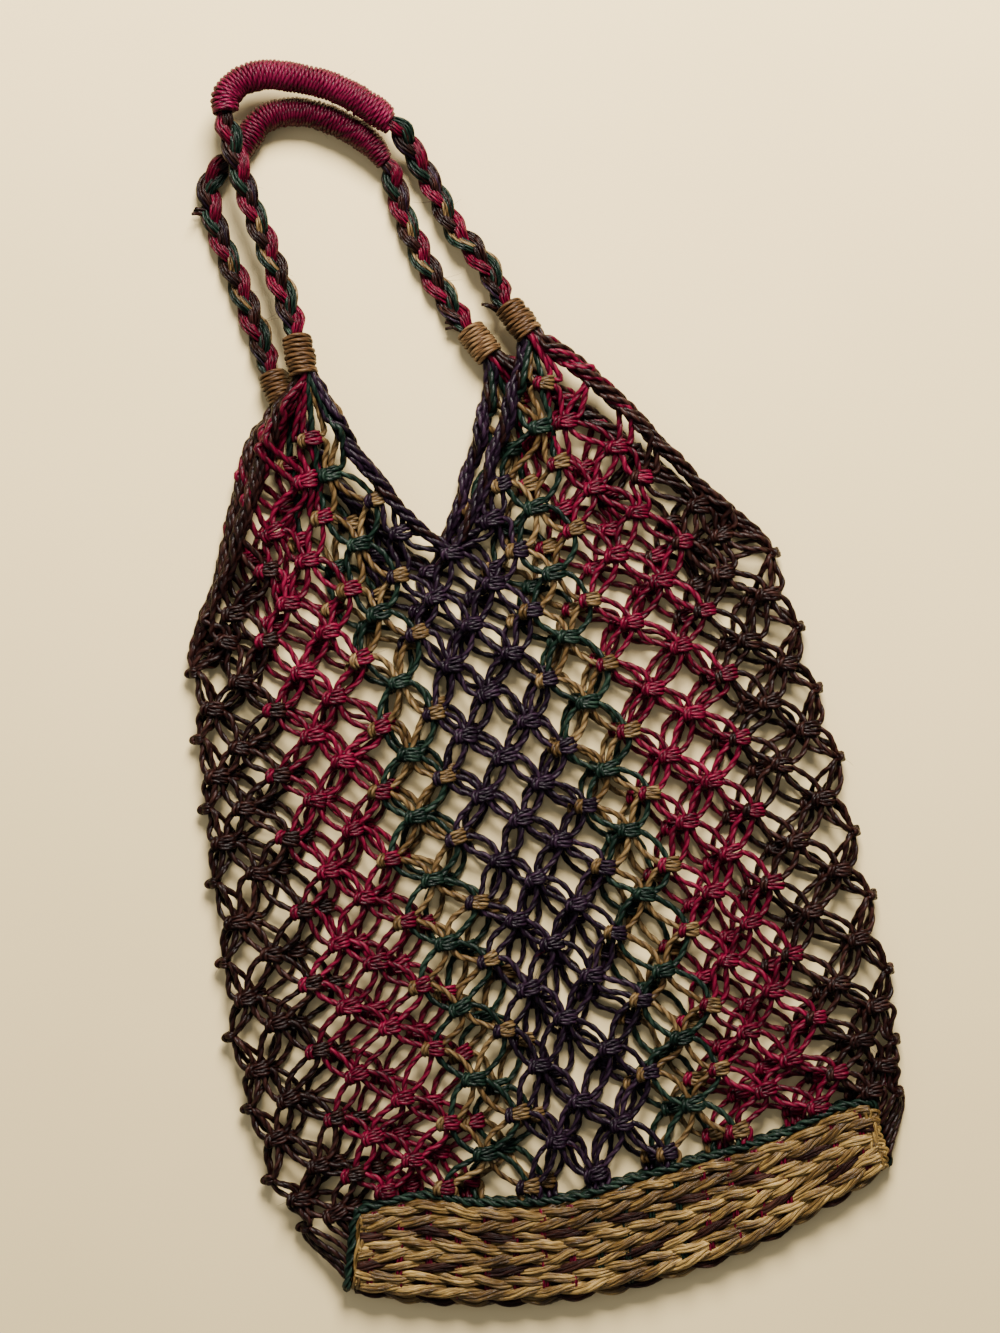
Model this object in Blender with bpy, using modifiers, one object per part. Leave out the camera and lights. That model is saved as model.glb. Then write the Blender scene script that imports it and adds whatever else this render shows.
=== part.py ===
"""A macrame net tote bag of thick plant-fibre yarn, empty and lying on its back.

The net is one knotted tube with four peaks. Each peak is bound to a braided handle, and the lower rim
is tied to a cord that edges a folded, twined base. Lengths in the tables are millimetres.
+X runs across the bag, +Y from the base to the handles and +Z up from the surface it lies on.
"""
import math

import bmesh
import bpy
from mathutils import Matrix, Vector

MM = 0.001
CLEARANCE = 0.3
FOOTPRINT_MIDDLE = (9.0, 295.65)

BACK_MID = 1.5
FRONT_MID = 10.2
NET_THICKNESS = 3.0
STRAND_HALF_WIDTH = 3.1
EDGE_BUNDLE_TOP = 4.6
EDGE_BUNDLE_LOW = 2.2
TIP_DEPTH = 5.4

COLUMNS = 8
COLUMN_PITCH = 39.0
ROW_PITCH = 27.0
FOLD_COLUMNS = 0.5
SIDE_CROWDING = 0.15
PEAK_TIP_ROW = -1
FIRST_FULL_ROW = 4
LAST_ROW = 14
PEAK_COLUMNS = (2.5, 5.5)

# The peaks below their tips, a row of knots at a time: the outer and inner edge of the left peak, then
# of the right one.
PEAK_EDGES = (
    # row, outer x, outer y, inner x, inner y, right inner x, right inner y, right outer x, right outer y
    (0, -64.0, 430.0, -34.0, 419.0, 49.0, 421.0, 88.0, 428.0),
    (1, -84.0, 402.0, -18.0, 386.0, 30.0, 387.0, 112.0, 400.0),
    (2, -106.0, 369.0, 8.4, 358.5, 8.4, 358.5, 136.0, 365.0),
    (3, -130.0, 336.0, 12.0, 333.0, 12.0, 333.0, 156.0, 332.0),
    (4, -139.0, 305.0, 12.5, 305.0, 12.5, 305.0, 164.0, 305.0),
)

# The outline of the tube below the peaks.
SIDES = (
    # y, left x, right x
    (24.0, -131.0, 160.0),
    (46.0, -143.0, 160.0),
    (84.0, -152.5, 169.0),
    (140.0, -155.5, 173.5),
    (209.0, -150.0, 171.5),
    (250.0, -146.0, 167.0),
    (303.0, -139.0, 164.0),
)

FULL_ROW_TOP = 305.0
SIDE_TIP_DROP = 23.0
BACK_SHIFT_LEFT = (-12.0, -10.5)
BACK_SHIFT_RIGHT = (-19.5, -5.5)
SHIFT_FADE_ROWS = 3.0

# How far the layers rise towards their bindings, and the stretch over which they do.
FRONT_RISE_LEFT = 7.3
FRONT_RISE_RIGHT = 2.9
FRONT_RISE_FROM = 375.0
FRONT_RISE_TO = 436.0
BACK_RISE = 5.0
BACK_RISE_FROM = 405.0
BACK_RISE_TO = 442.0

KNOT_ROWS = (4, 6, 8, 10, 12)
PEAK_KNOTS = ((2.5, 1), (5.5, 1), (4.0, 2))
KNOT_LENGTH = 19.0
KNOT_WIDTH = 9.5
KNOT_HALF_HEIGHT = 3.2
KNOT_OFFSET = (0.43, 0.61, 1.53)
KNOT_GROOVE = 0.45
KNOT_SIDES = 8
KNOT_RINGS = 4

GATHER_DEPTH = 15.0
GATHER_TOP_RADIUS = 6.2
GATHER_LOW_RADIUS = 3.4
GATHER_SIDES = 10

BASE_THICKNESS = 3.5
BASE_HEIGHT = 12.0
BASE_STATIONS = 14
BASE_ROWS = 9
BASE_RIDGE = 0.8
BASE_FOLD_STEPS = 4
BASE_LEFT_TOP = (-113.5, 41.0)
BASE_LEFT_FOLD = (-126.0, 7.0)
BASE_RIGHT_TOP = (147.8, 41.0)
BASE_RIGHT_FOLD = (147.6, 7.0)
BASE_TOP_SAG = 10.0
BASE_FOLD_SAG = 29.5

EDGING_RADIUS = 2.05
EDGING_GAP = 0.55
EDGING_UPPER = 10.4
EDGING_STATIONS = 14
EDGING_SIDE_STEPS = 3
EDGING_CORNER = 0.75
EDGING_RESOLUTION = 1

BRAID_SWING = 3.3
BRAID_LIFT = 1.7
BRAID_BUNDLE_RADIUS = 2.75
BRAID_CORE_RADIUS = 2.6
BRAID_REPEAT = 30.0
BRAID_RING_STEP = 3.4
BRAID_SIDES = 10

GRIP_TURN = 6.0
GRIP_GROOVE = 0.93
GRIP_END_STEPS = (0.72, 0.9)
TUBE_RESOLUTION = 3

BINDING_TURNS = 7
BINDING_RADIUS = 7.5
BINDING_GROOVE = 0.88

# Bindings: the middle, the direction from the peak to the braid, and the length.
BINDINGS = {
    # name: x, y, z, direction x, direction y, length
    "front_binding_left": (-45.8, 466.3, 17.5, 0.03, 1.0, 19.0),
    "front_binding_right": (64.1, 459.7, 13.1, -0.42, 0.91, 18.0),
    "back_binding_left": (-60.6, 453.6, 7.6, -0.19, 0.98, 17.0),
    "back_binding_right": (42.6, 453.5, 7.6, -0.44, 0.90, 17.0),
}

# Braids between their bindings and their grips.
BRAIDS = {
    "front_braid_left": (
        # x, y, z
        (-46.2, 495.6, 16.4), (-49.8, 522.1, 15.4), (-53.0, 548.5, 17.2), (-54.4, 572.0, 20.4),
    ),
    "front_braid_right": (
        (57.0, 483.5, 11.0), (51.0, 497.7, 9.0), (43.2, 511.5, 7.6), (39.6, 528.1, 7.0),
        (35.6, 542.0, 8.0), (31.2, 556.0, 10.8),
    ),
    "back_braid_left": (
        (-63.4, 478.2, 5.2), (-65.9, 492.1, 4.6), (-68.3, 508.3, 4.6), (-70.4, 523.1, 4.6),
        (-72.4, 538.2, 4.6), (-72.9, 550.0, 4.6), (-70.9, 562.0, 5.0),
    ),
    "back_braid_right": (
        (33.8, 473.0, 5.2), (29.1, 485.9, 4.6), (25.3, 497.4, 4.6), (22.4, 510.9, 4.6),
        (20.2, 524.8, 4.6), (19.6, 537.8, 5.2),
    ),
}
BRAID_LEAD = 4.5
BRAID_END_GAP = 0.7

# Grips, each from its left braid to its right one.
GRIPS = {
    "front_grip": (
        (-54.4, 592.2, 19.4), (-52.2, 599.8, 18.8), (-44.5, 605.2, 17.8), (-32.4, 606.3, 17.0),
        (-20.0, 602.6, 16.6), (-4.7, 595.6, 16.4), (5.5, 588.6, 16.4), (15.2, 579.6, 16.0),
        (24.1, 569.9, 15.0),
    ),
    "back_grip": (
        (-54.9, 573.3, 7.0), (-48.2, 578.0, 7.2), (-40.2, 585.2, 7.4), (-29.9, 587.8, 7.4),
        (-17.4, 585.6, 7.4), (-5.6, 579.4, 7.4), (5.2, 570.6, 7.4), (12.4, 562.4, 7.4),
        (17.2, 552.1, 7.0),
    ),
}
GRIP_RADII = {"front_grip": 7.3, "back_grip": 7.0}

COLOURS = {
    "net_yarn": (0.19, 0.04, 0.07, 0.85),
    "base_straw": (0.52, 0.34, 0.15, 0.8),
    "edging_yarn": (0.05, 0.12, 0.10, 0.85),
    "braid_yarn": (0.22, 0.03, 0.07, 0.85),
    "grip_yarn": (0.32, 0.02, 0.09, 0.75),
    "binding_cord": (0.42, 0.24, 0.11, 0.8),
}


def clear_objects():
    for item in list(bpy.data.objects):
        bpy.data.objects.remove(item, do_unlink=True)


def new_collection(name):
    collection = bpy.data.collections.new(name)
    bpy.context.scene.collection.children.link(collection)
    return collection


def yarn_material(name):
    red, green, blue, roughness = COLOURS[name]
    material = bpy.data.materials.new(name)
    material.use_nodes = True
    shader = material.node_tree.nodes["Principled BSDF"]
    shader.inputs["Base Color"].default_value = (red, green, blue, 1.0)
    shader.inputs["Roughness"].default_value = roughness
    shader.inputs["Metallic"].default_value = 0.0
    return material


def add_object(name, data, collection, material=None):
    item = bpy.data.objects.new(name, data)
    collection.objects.link(item)
    if material:
        data.materials.append(material)
    return item


def mesh_from(bm, name):
    mesh = bpy.data.meshes.new(name)
    bm.to_mesh(mesh)
    bm.free()
    return mesh


def between(low, high, share):
    return low + (high - low) * share


def eased(value, start, stop):
    """Run smoothly from 0 at start to 1 at stop."""
    share = min(max((value - start) / (stop - start), 0.0), 1.0)
    return share * share * (3.0 - 2.0 * share)


def read_table(table, key):
    """Interpolate the columns of a table whose first column rises."""
    for low, high in zip(table, table[1:]):
        if key <= high[0]:
            break
    share = min(max((key - low[0]) / (high[0] - low[0]), 0.0), 1.0)
    return [between(a, b, share) for a, b in zip(low[1:], high[1:])]


def smooth_path(points, step):
    """Points a step apart on the Catmull-Rom curve through the given points."""
    knots = [Vector(point) for point in points]
    knots = [2.0 * knots[0] - knots[1]] + knots + [2.0 * knots[-1] - knots[-2]]
    fine_steps = 24
    fine = []
    for a, b, c, d in zip(knots, knots[1:], knots[2:], knots[3:]):
        for index in range(fine_steps):
            t = index / fine_steps
            fine.append(0.5 * (2.0 * b + (c - a) * t + (2.0 * a - 5.0 * b + 4.0 * c - d) * t * t
                               + (3.0 * b - a - 3.0 * c + d) * t ** 3))
    fine.append(knots[-2])
    lengths = [0.0]
    for a, b in zip(fine, fine[1:]):
        lengths.append(lengths[-1] + (b - a).length)
    count = max(2, round(lengths[-1] / step))
    path = []
    index = 0
    for number in range(count + 1):
        target = lengths[-1] * number / count
        while index < len(fine) - 2 and lengths[index + 1] < target:
            index += 1
        share = (target - lengths[index]) / (lengths[index + 1] - lengths[index])
        path.append(fine[index].lerp(fine[index + 1], share))
    return path


def tangent_at(path, index):
    ahead = path[min(index + 1, len(path) - 1)]
    behind = path[max(index - 1, 0)]
    return (ahead - behind).normalized()


def tube(name, path, radii, collection, material, resolution, closed=False):
    """A curve with round section and filled ends, its radius given point by point."""
    curve = bpy.data.curves.new(name, "CURVE")
    curve.dimensions = "3D"
    curve.twist_mode = "Z_UP"
    curve.bevel_depth = MM
    curve.bevel_resolution = resolution
    curve.use_fill_caps = not closed
    spline = curve.splines.new("POLY")
    spline.points.add(len(path) - 1)
    for point, place, radius in zip(spline.points, path, radii):
        point.co = (place.x * MM, place.y * MM, place.z * MM, 1.0)
        point.radius = radius
    spline.use_cyclic_u = closed
    return add_object(name, curve, collection, material)


def base_edge_y(x):
    """Height of the panel's upper edge at x."""
    share = (x - BASE_LEFT_TOP[0]) / (BASE_RIGHT_TOP[0] - BASE_LEFT_TOP[0])
    share = min(max(share, 0.0), 1.0)
    return BASE_LEFT_TOP[1] - BASE_TOP_SAG * (1.0 - (2.0 * share - 1.0) ** 2)


def binding_line(name):
    """Middle of a binding, its direction towards the braid, and its length."""
    x, y, z, aim_x, aim_y, length = BINDINGS[name]
    return Vector((x, y, z)), Vector((aim_x, aim_y, 0.0)).normalized(), length


def peak_tip(behind, side):
    middle, aim, length = binding_line(("back" if behind else "front") + "_binding_" + side)
    return (middle - aim * (length / 2.0 + CLEARANCE + TIP_DEPTH)).to_2d()


def back_shift(share, row):
    """How far the back layer lies from the front one, fading out below the peaks."""
    fade = min(max((FIRST_FULL_ROW - row) / SHIFT_FADE_ROWS, 0.0), 1.0)
    return fade * Vector(BACK_SHIFT_LEFT).lerp(Vector(BACK_SHIFT_RIGHT), share)


def edge_points(behind, side, row):
    """Outer and inner edge of one peak at a whole row; both meet at the tip."""
    if row == PEAK_TIP_ROW:
        return peak_tip(behind, side), peak_tip(behind, side)
    columns = next(columns[1:] for columns in PEAK_EDGES if columns[0] == row)
    points = [Vector(columns[0:2]), Vector(columns[2:4]), Vector(columns[4:6]), Vector(columns[6:8])]
    outer, inner = (points[0], points[1]) if side == "left" else (points[3], points[2])
    if behind:
        outer = outer + back_shift((outer.x - points[0].x) / (points[3].x - points[0].x), row)
        inner = inner + back_shift((inner.x - points[0].x) / (points[3].x - points[0].x), row)
    return outer, inner


def peak_place(behind, column, row):
    """A point of a peak, from its outer edge to its inner one, between two rows of knots."""
    side = "left" if column <= COLUMNS / 2.0 else "right"
    middle = PEAK_COLUMNS[0] if side == "left" else PEAK_COLUMNS[1]
    reach = (row - PEAK_TIP_ROW) / 2.0
    if side == "left":
        outer_column, inner_column = max(middle - reach, 0.0), min(middle + reach, COLUMNS / 2.0)
    else:
        outer_column, inner_column = min(middle + reach, COLUMNS), max(middle - reach, COLUMNS / 2.0)
    low_row = min(math.floor(row), FIRST_FULL_ROW - 1)
    outer_above, inner_above = edge_points(behind, side, low_row)
    outer_below, inner_below = edge_points(behind, side, low_row + 1)
    outer = outer_above.lerp(outer_below, row - low_row)
    inner = inner_above.lerp(inner_below, row - low_row)
    span = inner_column - outer_column
    return outer.lerp(inner, (column - outer_column) / span if span else 0.0)


def tube_place(column, row):
    """A point below the peaks: rows are level at the top and bowed like the base at the bottom."""
    drop = (row - FIRST_FULL_ROW) / (LAST_ROW - FIRST_FULL_ROW)
    beside = max(1.0 - min(column, COLUMNS - column), 0.0)
    corner_drop = SIDE_TIP_DROP * beside * max(row - LAST_ROW + 2.0, 0.0) / 2.0
    left, right = read_table(SIDES, between(FULL_ROW_TOP, BASE_LEFT_TOP[1], drop) - corner_drop)
    share = column / COLUMNS
    share -= SIDE_CROWDING * math.sin(2.0 * math.pi * share) / (2.0 * math.pi)
    x = between(left, right, share)
    low = base_edge_y(x) + 2.0 * (EDGING_RADIUS + EDGING_GAP)
    return Vector((x, between(FULL_ROW_TOP, low, drop) - corner_drop))


def layer_height(behind, share, y):
    """Middle height of a layer of the net, which rises towards the bindings."""
    if behind:
        return BACK_MID + BACK_RISE * eased(y, BACK_RISE_FROM, BACK_RISE_TO)
    rise = between(FRONT_RISE_LEFT, FRONT_RISE_RIGHT, share)
    return FRONT_MID + rise * eased(y, FRONT_RISE_FROM, FRONT_RISE_TO)


def net_place(across, row):
    """A point of the tube: across runs to COLUMNS over the front and back again behind."""
    across = across % (2 * COLUMNS)
    behind = across > COLUMNS
    column = 2 * COLUMNS - across if behind else across
    place = peak_place(behind, column, row) if row < FIRST_FULL_ROW else tube_place(column, row)
    z = layer_height(behind, column / COLUMNS, place.y)
    beside = min(column, COLUMNS - column) / FOLD_COLUMNS
    if beside < 1.0:
        z = between((FRONT_MID + BACK_MID) / 2.0, z, math.sin(beside * math.pi / 2.0))
    return Vector((place.x, place.y, z))


def knot_exists(across, row):
    if row > LAST_ROW:
        return False
    column = across % (2 * COLUMNS)
    column = 2 * COLUMNS - column if column > COLUMNS else column
    reach = (row - PEAK_TIP_ROW) / 2.0
    return min(abs(column - peak) for peak in PEAK_COLUMNS) <= reach


def flat_cells(bm):
    """The net cut open and laid flat: a rhombus for each cell, in knot columns and rows."""
    for row in range(PEAK_TIP_ROW, LAST_ROW + 1):
        for step in range(2 * COLUMNS):
            across = step + (row % 2) * 0.5
            corners = ((across, row), (across - 0.5, row + 1), (across, row + 2), (across + 0.5, row + 1))
            if all(knot_exists(*corner) for corner in corners):
                verts = [bm.verts.new((a * COLUMN_PITCH, b * ROW_PITCH, 0.0)) for a, b in corners]
                bm.faces.new(verts)


def rim_lines():
    """Knots along the edges of the four peaks, each line from its tip down to where two peaks meet."""
    lines = []
    for tip in PEAK_COLUMNS + tuple(2 * COLUMNS - peak for peak in PEAK_COLUMNS):
        for side in (-0.5, 0.5):
            line = [(tip, PEAK_TIP_ROW)]
            while line[-1][0] % (COLUMNS / 2.0):
                line.append((line[-1][0] + side, line[-1][1] + 1))
            lines.append(line)
    return lines


def add_edge_bundles(bm):
    """A band outside each peak's edge: thick below the binding and thin where two peaks meet."""
    found = {tuple(round(value, 3) for value in vert.co): vert for vert in bm.verts}
    edges = set()
    shares = {}
    for line in rim_lines():
        verts = [found[tuple(round(value, 3) for value in net_place(*knot))] for knot in line]
        for vert, knot in zip(verts, line):
            shares[vert] = (knot[1] - PEAK_TIP_ROW) / (FIRST_FULL_ROW - PEAK_TIP_ROW)
        edges.update(bm.edges.get(pair) for pair in zip(verts, verts[1:]))
    outward = {}
    for edge in edges:
        along = (edge.verts[1].co - edge.verts[0].co).normalized()
        away = (edge.verts[0].co + edge.verts[1].co) / 2.0 - edge.link_faces[0].calc_center_median()
        away = (away - along * away.dot(along)).normalized()
        for vert in edge.verts:
            outward[vert] = outward.get(vert, Vector()) + away
    moves = {}
    for vert, direction in outward.items():
        width = between(EDGE_BUNDLE_TOP, EDGE_BUNDLE_LOW, shares[vert])
        moves[tuple(vert.co)] = direction.normalized() * width
    grown = bmesh.ops.extrude_edge_only(bm, edges=list(edges))["geom"]
    for item in grown:
        if isinstance(item, bmesh.types.BMVert):
            item.co += moves[tuple(item.co)]


def net_lattice():
    """The open surface of the net: a ring of strand round each cell, and a band along each peak's edge."""
    bm = bmesh.new()
    flat_cells(bm)
    bm.normal_update()
    cells = list(bm.faces)
    bmesh.ops.inset_individual(bm, faces=cells, thickness=STRAND_HALF_WIDTH, use_even_offset=True)
    bmesh.ops.delete(bm, geom=cells, context="FACES")
    for vert in bm.verts:
        vert.co = net_place(vert.co.x / COLUMN_PITCH, round(vert.co.y / ROW_PITCH, 5))
    bmesh.ops.remove_doubles(bm, verts=bm.verts, dist=0.01)
    add_edge_bundles(bm)
    bmesh.ops.recalc_face_normals(bm, faces=bm.faces)
    bmesh.ops.scale(bm, vec=(MM, MM, MM), verts=bm.verts)
    return mesh_from(bm, "net_body")


def add_knot(bm, place):
    """A square knot: a rounded lump across the strands with a groove between its two bars."""
    made = bmesh.ops.create_uvsphere(bm, u_segments=KNOT_SIDES, v_segments=KNOT_RINGS, radius=1.0)
    for vert in made["verts"]:
        groove = KNOT_GROOVE if abs(vert.co.y) < 0.1 and vert.co.x > 0.0 else 0.0
        vert.co = Vector((vert.co.z * KNOT_LENGTH / 2.0, vert.co.y * KNOT_WIDTH / 2.0,
                          vert.co.x * KNOT_HALF_HEIGHT * (1.0 - groove)))
    bmesh.ops.translate(bm, verts=made["verts"], vec=place + Vector(KNOT_OFFSET))


def add_gather(bm, name):
    """The yarns gathered below a binding: a short cone whose wide end faces the binding."""
    middle, aim, length = binding_line(name)
    place = middle - aim * (length / 2.0 + CLEARANCE + GATHER_DEPTH / 2.0)
    turn = aim.to_track_quat("Z", "X").to_matrix().to_4x4()
    bmesh.ops.create_cone(bm, cap_ends=True, segments=GATHER_SIDES, radius1=GATHER_LOW_RADIUS,
                          radius2=GATHER_TOP_RADIUS, depth=GATHER_DEPTH,
                          matrix=Matrix.Translation(place) @ turn)


def knot_lumps():
    bm = bmesh.new()
    for row in KNOT_ROWS:
        for column in range(1, COLUMNS):
            add_knot(bm, net_place(float(column), row))
    for across, row in PEAK_KNOTS:
        add_knot(bm, net_place(across, row))
    for name in BINDINGS:
        add_gather(bm, name)
    bmesh.ops.recalc_face_normals(bm, faces=bm.faces)
    bmesh.ops.scale(bm, vec=(MM, MM, MM), verts=bm.verts)
    return mesh_from(bm, "knot_lumps")


def make_net(parts, helpers):
    lumps = add_object("knot_lumps", knot_lumps(), helpers)
    lumps.hide_render = True
    lumps.display_type = "WIRE"
    net = add_object("net_body", net_lattice(), parts, yarn_material("net_yarn"))
    wall = net.modifiers.new("Thickness", "SOLIDIFY")
    wall.thickness = NET_THICKNESS * MM
    wall.offset = 0.0
    join = net.modifiers.new("Knots", "BOOLEAN")
    join.operation = "UNION"
    join.solver = "MANIFOLD"
    join.object = lumps


def base_section(share):
    """Outline of the folded panel at one station: its upper edge and its fold, as x and y."""
    bow = 1.0 - (2.0 * share - 1.0) ** 2
    top_x = between(BASE_LEFT_TOP[0], BASE_RIGHT_TOP[0], share)
    fold_x = between(BASE_LEFT_FOLD[0], BASE_RIGHT_FOLD[0], share)
    top_y = BASE_LEFT_TOP[1] - BASE_TOP_SAG * bow
    fold_y = BASE_LEFT_FOLD[1] - BASE_FOLD_SAG * bow
    return top_x, top_y, fold_x, fold_y


def base_profile(share):
    """Closed section of the panel: ridged above, round the fold, plain below and back inside."""
    top_x, top_y, fold_x, fold_y = base_section(share)
    radius = BASE_HEIGHT / 2.0
    centre_y = fold_y + radius
    outline = []
    ridge_steps = 2 * BASE_ROWS
    for step in range(ridge_steps + 1):
        y = between(top_y, centre_y, step / ridge_steps)
        outline.append((y, BASE_HEIGHT + BASE_RIDGE * (step % 2)))
    for step in range(1, BASE_FOLD_STEPS + 1):
        angle = math.pi * step / BASE_FOLD_STEPS
        outline.append((centre_y - radius * math.sin(angle), radius + radius * math.cos(angle)))
    outline.append((top_y, 0.0))
    outline.append((top_y, BASE_THICKNESS))
    inner = radius - BASE_THICKNESS
    for step in range(BASE_FOLD_STEPS + 1):
        angle = math.pi * (1.0 - step / BASE_FOLD_STEPS)
        outline.append((centre_y - inner * math.sin(angle), radius + inner * math.cos(angle)))
    outline.append((top_y, BASE_HEIGHT - BASE_THICKNESS))
    slope = (fold_x - top_x) / (fold_y - top_y)
    return [Vector((top_x + slope * (y - top_y), y, z)) for y, z in outline]


def loft(name, sections):
    """Join equal closed sections one after another and close both ends."""
    bm = bmesh.new()
    rings = [[bm.verts.new(place * MM) for place in section] for section in sections]
    for low, high in zip(rings, rings[1:]):
        for index in range(len(low)):
            after = (index + 1) % len(low)
            bm.faces.new((low[index], low[after], high[after], high[index]))
    bm.faces.new(reversed(rings[0]))
    bm.faces.new(rings[-1])
    bmesh.ops.recalc_face_normals(bm, faces=bm.faces)
    return mesh_from(bm, name)


def make_base(parts):
    sections = [base_profile(station / BASE_STATIONS) for station in range(BASE_STATIONS + 1)]
    add_object("base_panel", loft("base_panel", sections), parts, yarn_material("base_straw"))


def edging_side(share, outward):
    """The cord's way round one short end of the panel, from its upper edge to its lower one."""
    top_x, top_y, fold_x, fold_y = base_section(share)
    reach = EDGING_RADIUS + EDGING_GAP
    upper = EDGING_UPPER
    radius = upper - BASE_HEIGHT / 2.0
    centre_y = fold_y + BASE_HEIGHT / 2.0
    slope = (fold_x - top_x) / (fold_y - top_y)
    places = [(top_y + reach * EDGING_CORNER, upper)]
    for step in range(1, EDGING_SIDE_STEPS):
        y = between(top_y, centre_y, step / EDGING_SIDE_STEPS)
        places.append((y, upper))
    for step in range(BASE_FOLD_STEPS + 1):
        angle = math.pi * step / BASE_FOLD_STEPS
        places.append((centre_y - radius * math.sin(angle), BASE_HEIGHT / 2.0 + radius * math.cos(angle)))
    for step in reversed(range(1, EDGING_SIDE_STEPS)):
        y = between(top_y, centre_y, step / EDGING_SIDE_STEPS)
        places.append((y, BASE_HEIGHT - upper))
    places.append((top_y + reach * EDGING_CORNER, BASE_HEIGHT - upper))
    return [Vector((top_x + slope * (y - top_y) + outward * reach, y, max(z, EDGING_RADIUS)))
            for y, z in places]


def make_edging(parts):
    reach = EDGING_RADIUS + EDGING_GAP
    upper = EDGING_UPPER
    front = []
    for station in range(EDGING_STATIONS + 1):
        top_x, top_y = base_section(station / EDGING_STATIONS)[:2]
        front.append(Vector((top_x, top_y + reach, upper)))
    back = [Vector((place.x, place.y, EDGING_RADIUS)) for place in reversed(front)]
    path = front + edging_side(1.0, 1.0) + back + list(reversed(edging_side(0.0, -1.0)))
    radii = [EDGING_RADIUS] * len(path)
    tube("base_edging", path, radii, parts, yarn_material("edging_yarn"), EDGING_RESOLUTION, closed=True)


def braid_reach(angle, phase):
    """Distance from the braid's axis to the outside of its three bundles, in one direction."""
    aim_x, aim_z = math.cos(angle), math.sin(angle)
    reach = BRAID_CORE_RADIUS
    for bundle in range(3):
        turn = 2.0 * math.pi * (phase + bundle / 3.0)
        x = BRAID_SWING * math.sin(turn)
        z = BRAID_LIFT * math.sin(2.0 * turn)
        along = x * aim_x + z * aim_z
        square = along * along - (x * x + z * z) + BRAID_BUNDLE_RADIUS ** 2
        if square > 0.0:
            reach = max(reach, along + math.sqrt(square))
    return reach


def braid_route(name):
    """A braid leaves its binding squarely, follows its points and meets its grip squarely."""
    middle, aim, length = binding_line(name.replace("braid", "binding"))
    start = middle + aim * (length / 2.0)
    grip = GRIPS[name.split("_")[0] + "_grip"]
    ends = [Vector(place) for place in (grip if name.endswith("left") else grip[::-1])[:2]]
    out = (ends[0] - ends[1]).normalized()
    points = [Vector(place) for place in BRAIDS[name]]
    return ([start + aim * BRAID_END_GAP, start + aim * BRAID_LEAD] + points
            + [ends[0] + out * BRAID_LEAD, ends[0] + out * BRAID_END_GAP])


def make_braid(name, parts, material):
    path = smooth_path(braid_route(name), BRAID_RING_STEP)
    sections = []
    travelled = 0.0
    for index, place in enumerate(path):
        ahead = tangent_at(path, index)
        side = ahead.cross(Vector((0.0, 0.0, 1.0))).normalized()
        up = side.cross(ahead)
        if index:
            travelled += (place - path[index - 1]).length
        ring = []
        for step in range(BRAID_SIDES):
            angle = 2.0 * math.pi * step / BRAID_SIDES
            reach = braid_reach(angle, travelled / BRAID_REPEAT)
            ring.append(place + reach * (side * math.cos(angle) + up * math.sin(angle)))
        sections.append(ring)
    braid = add_object(name, loft(name, sections), parts, material)
    braid.data.shade_smooth()


def make_grip(name, parts, material):
    path = smooth_path(GRIPS[name], GRIP_TURN / 2.0)
    radii = [GRIP_RADII[name] * (1.0 if index % 2 else GRIP_GROOVE) for index in range(len(path))]
    for index, share in enumerate(GRIP_END_STEPS):
        radii[index] = GRIP_RADII[name] * share
        radii[-1 - index] = GRIP_RADII[name] * share
    tube(name, path, radii, parts, material, TUBE_RESOLUTION)


def make_binding(name, parts, material):
    middle, aim, length = binding_line(name)
    start = middle - aim * (length / 2.0)
    steps = 2 * BINDING_TURNS
    path = [start + aim * (length * step / steps) for step in range(steps + 1)]
    radii = [BINDING_RADIUS * (1.0 if step % 2 else BINDING_GROOVE) for step in range(steps + 1)]
    tube(name, path, radii, parts, material, TUBE_RESOLUTION)


def place_on_origin(collections):
    """Hang every object on an empty that brings the middle of the bag's footprint to the origin."""
    footprint = bpy.data.objects.new("footprint", None)
    footprint.location = (-FOOTPRINT_MIDDLE[0] * MM, -FOOTPRINT_MIDDLE[1] * MM, 0.0)
    bpy.context.scene.collection.objects.link(footprint)
    for collection in collections:
        for item in collection.objects:
            item.parent = footprint


def main():
    clear_objects()
    parts = new_collection("macrame_net_tote_bag")
    helpers = new_collection("cutters")
    make_net(parts, helpers)
    make_base(parts)
    make_edging(parts)
    braid_yarn = yarn_material("braid_yarn")
    grip_yarn = yarn_material("grip_yarn")
    binding_cord = yarn_material("binding_cord")
    for name in BRAIDS:
        make_braid(name, parts, braid_yarn)
    for name in GRIPS:
        make_grip(name, parts, grip_yarn)
    for name in BINDINGS:
        make_binding(name, parts, binding_cord)
    place_on_origin((parts, helpers))


main()
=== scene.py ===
import math

import bpy
import numpy as np
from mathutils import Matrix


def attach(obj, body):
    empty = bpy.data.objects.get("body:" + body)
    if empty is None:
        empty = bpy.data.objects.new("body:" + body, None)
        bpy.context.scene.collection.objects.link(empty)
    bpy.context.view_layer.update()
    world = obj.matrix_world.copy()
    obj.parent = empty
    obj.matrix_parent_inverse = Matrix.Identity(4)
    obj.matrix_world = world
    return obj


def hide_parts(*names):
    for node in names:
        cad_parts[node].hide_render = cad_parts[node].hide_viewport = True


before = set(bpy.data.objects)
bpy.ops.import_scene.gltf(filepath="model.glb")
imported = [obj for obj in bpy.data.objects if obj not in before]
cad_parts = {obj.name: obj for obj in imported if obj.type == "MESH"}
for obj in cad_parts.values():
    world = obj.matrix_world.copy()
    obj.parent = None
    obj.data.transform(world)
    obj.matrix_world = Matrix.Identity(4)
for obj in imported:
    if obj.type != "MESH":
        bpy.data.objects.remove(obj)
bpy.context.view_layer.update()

mm = 0.001                          # lengths below are in millimetres, meshes in metres
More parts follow.
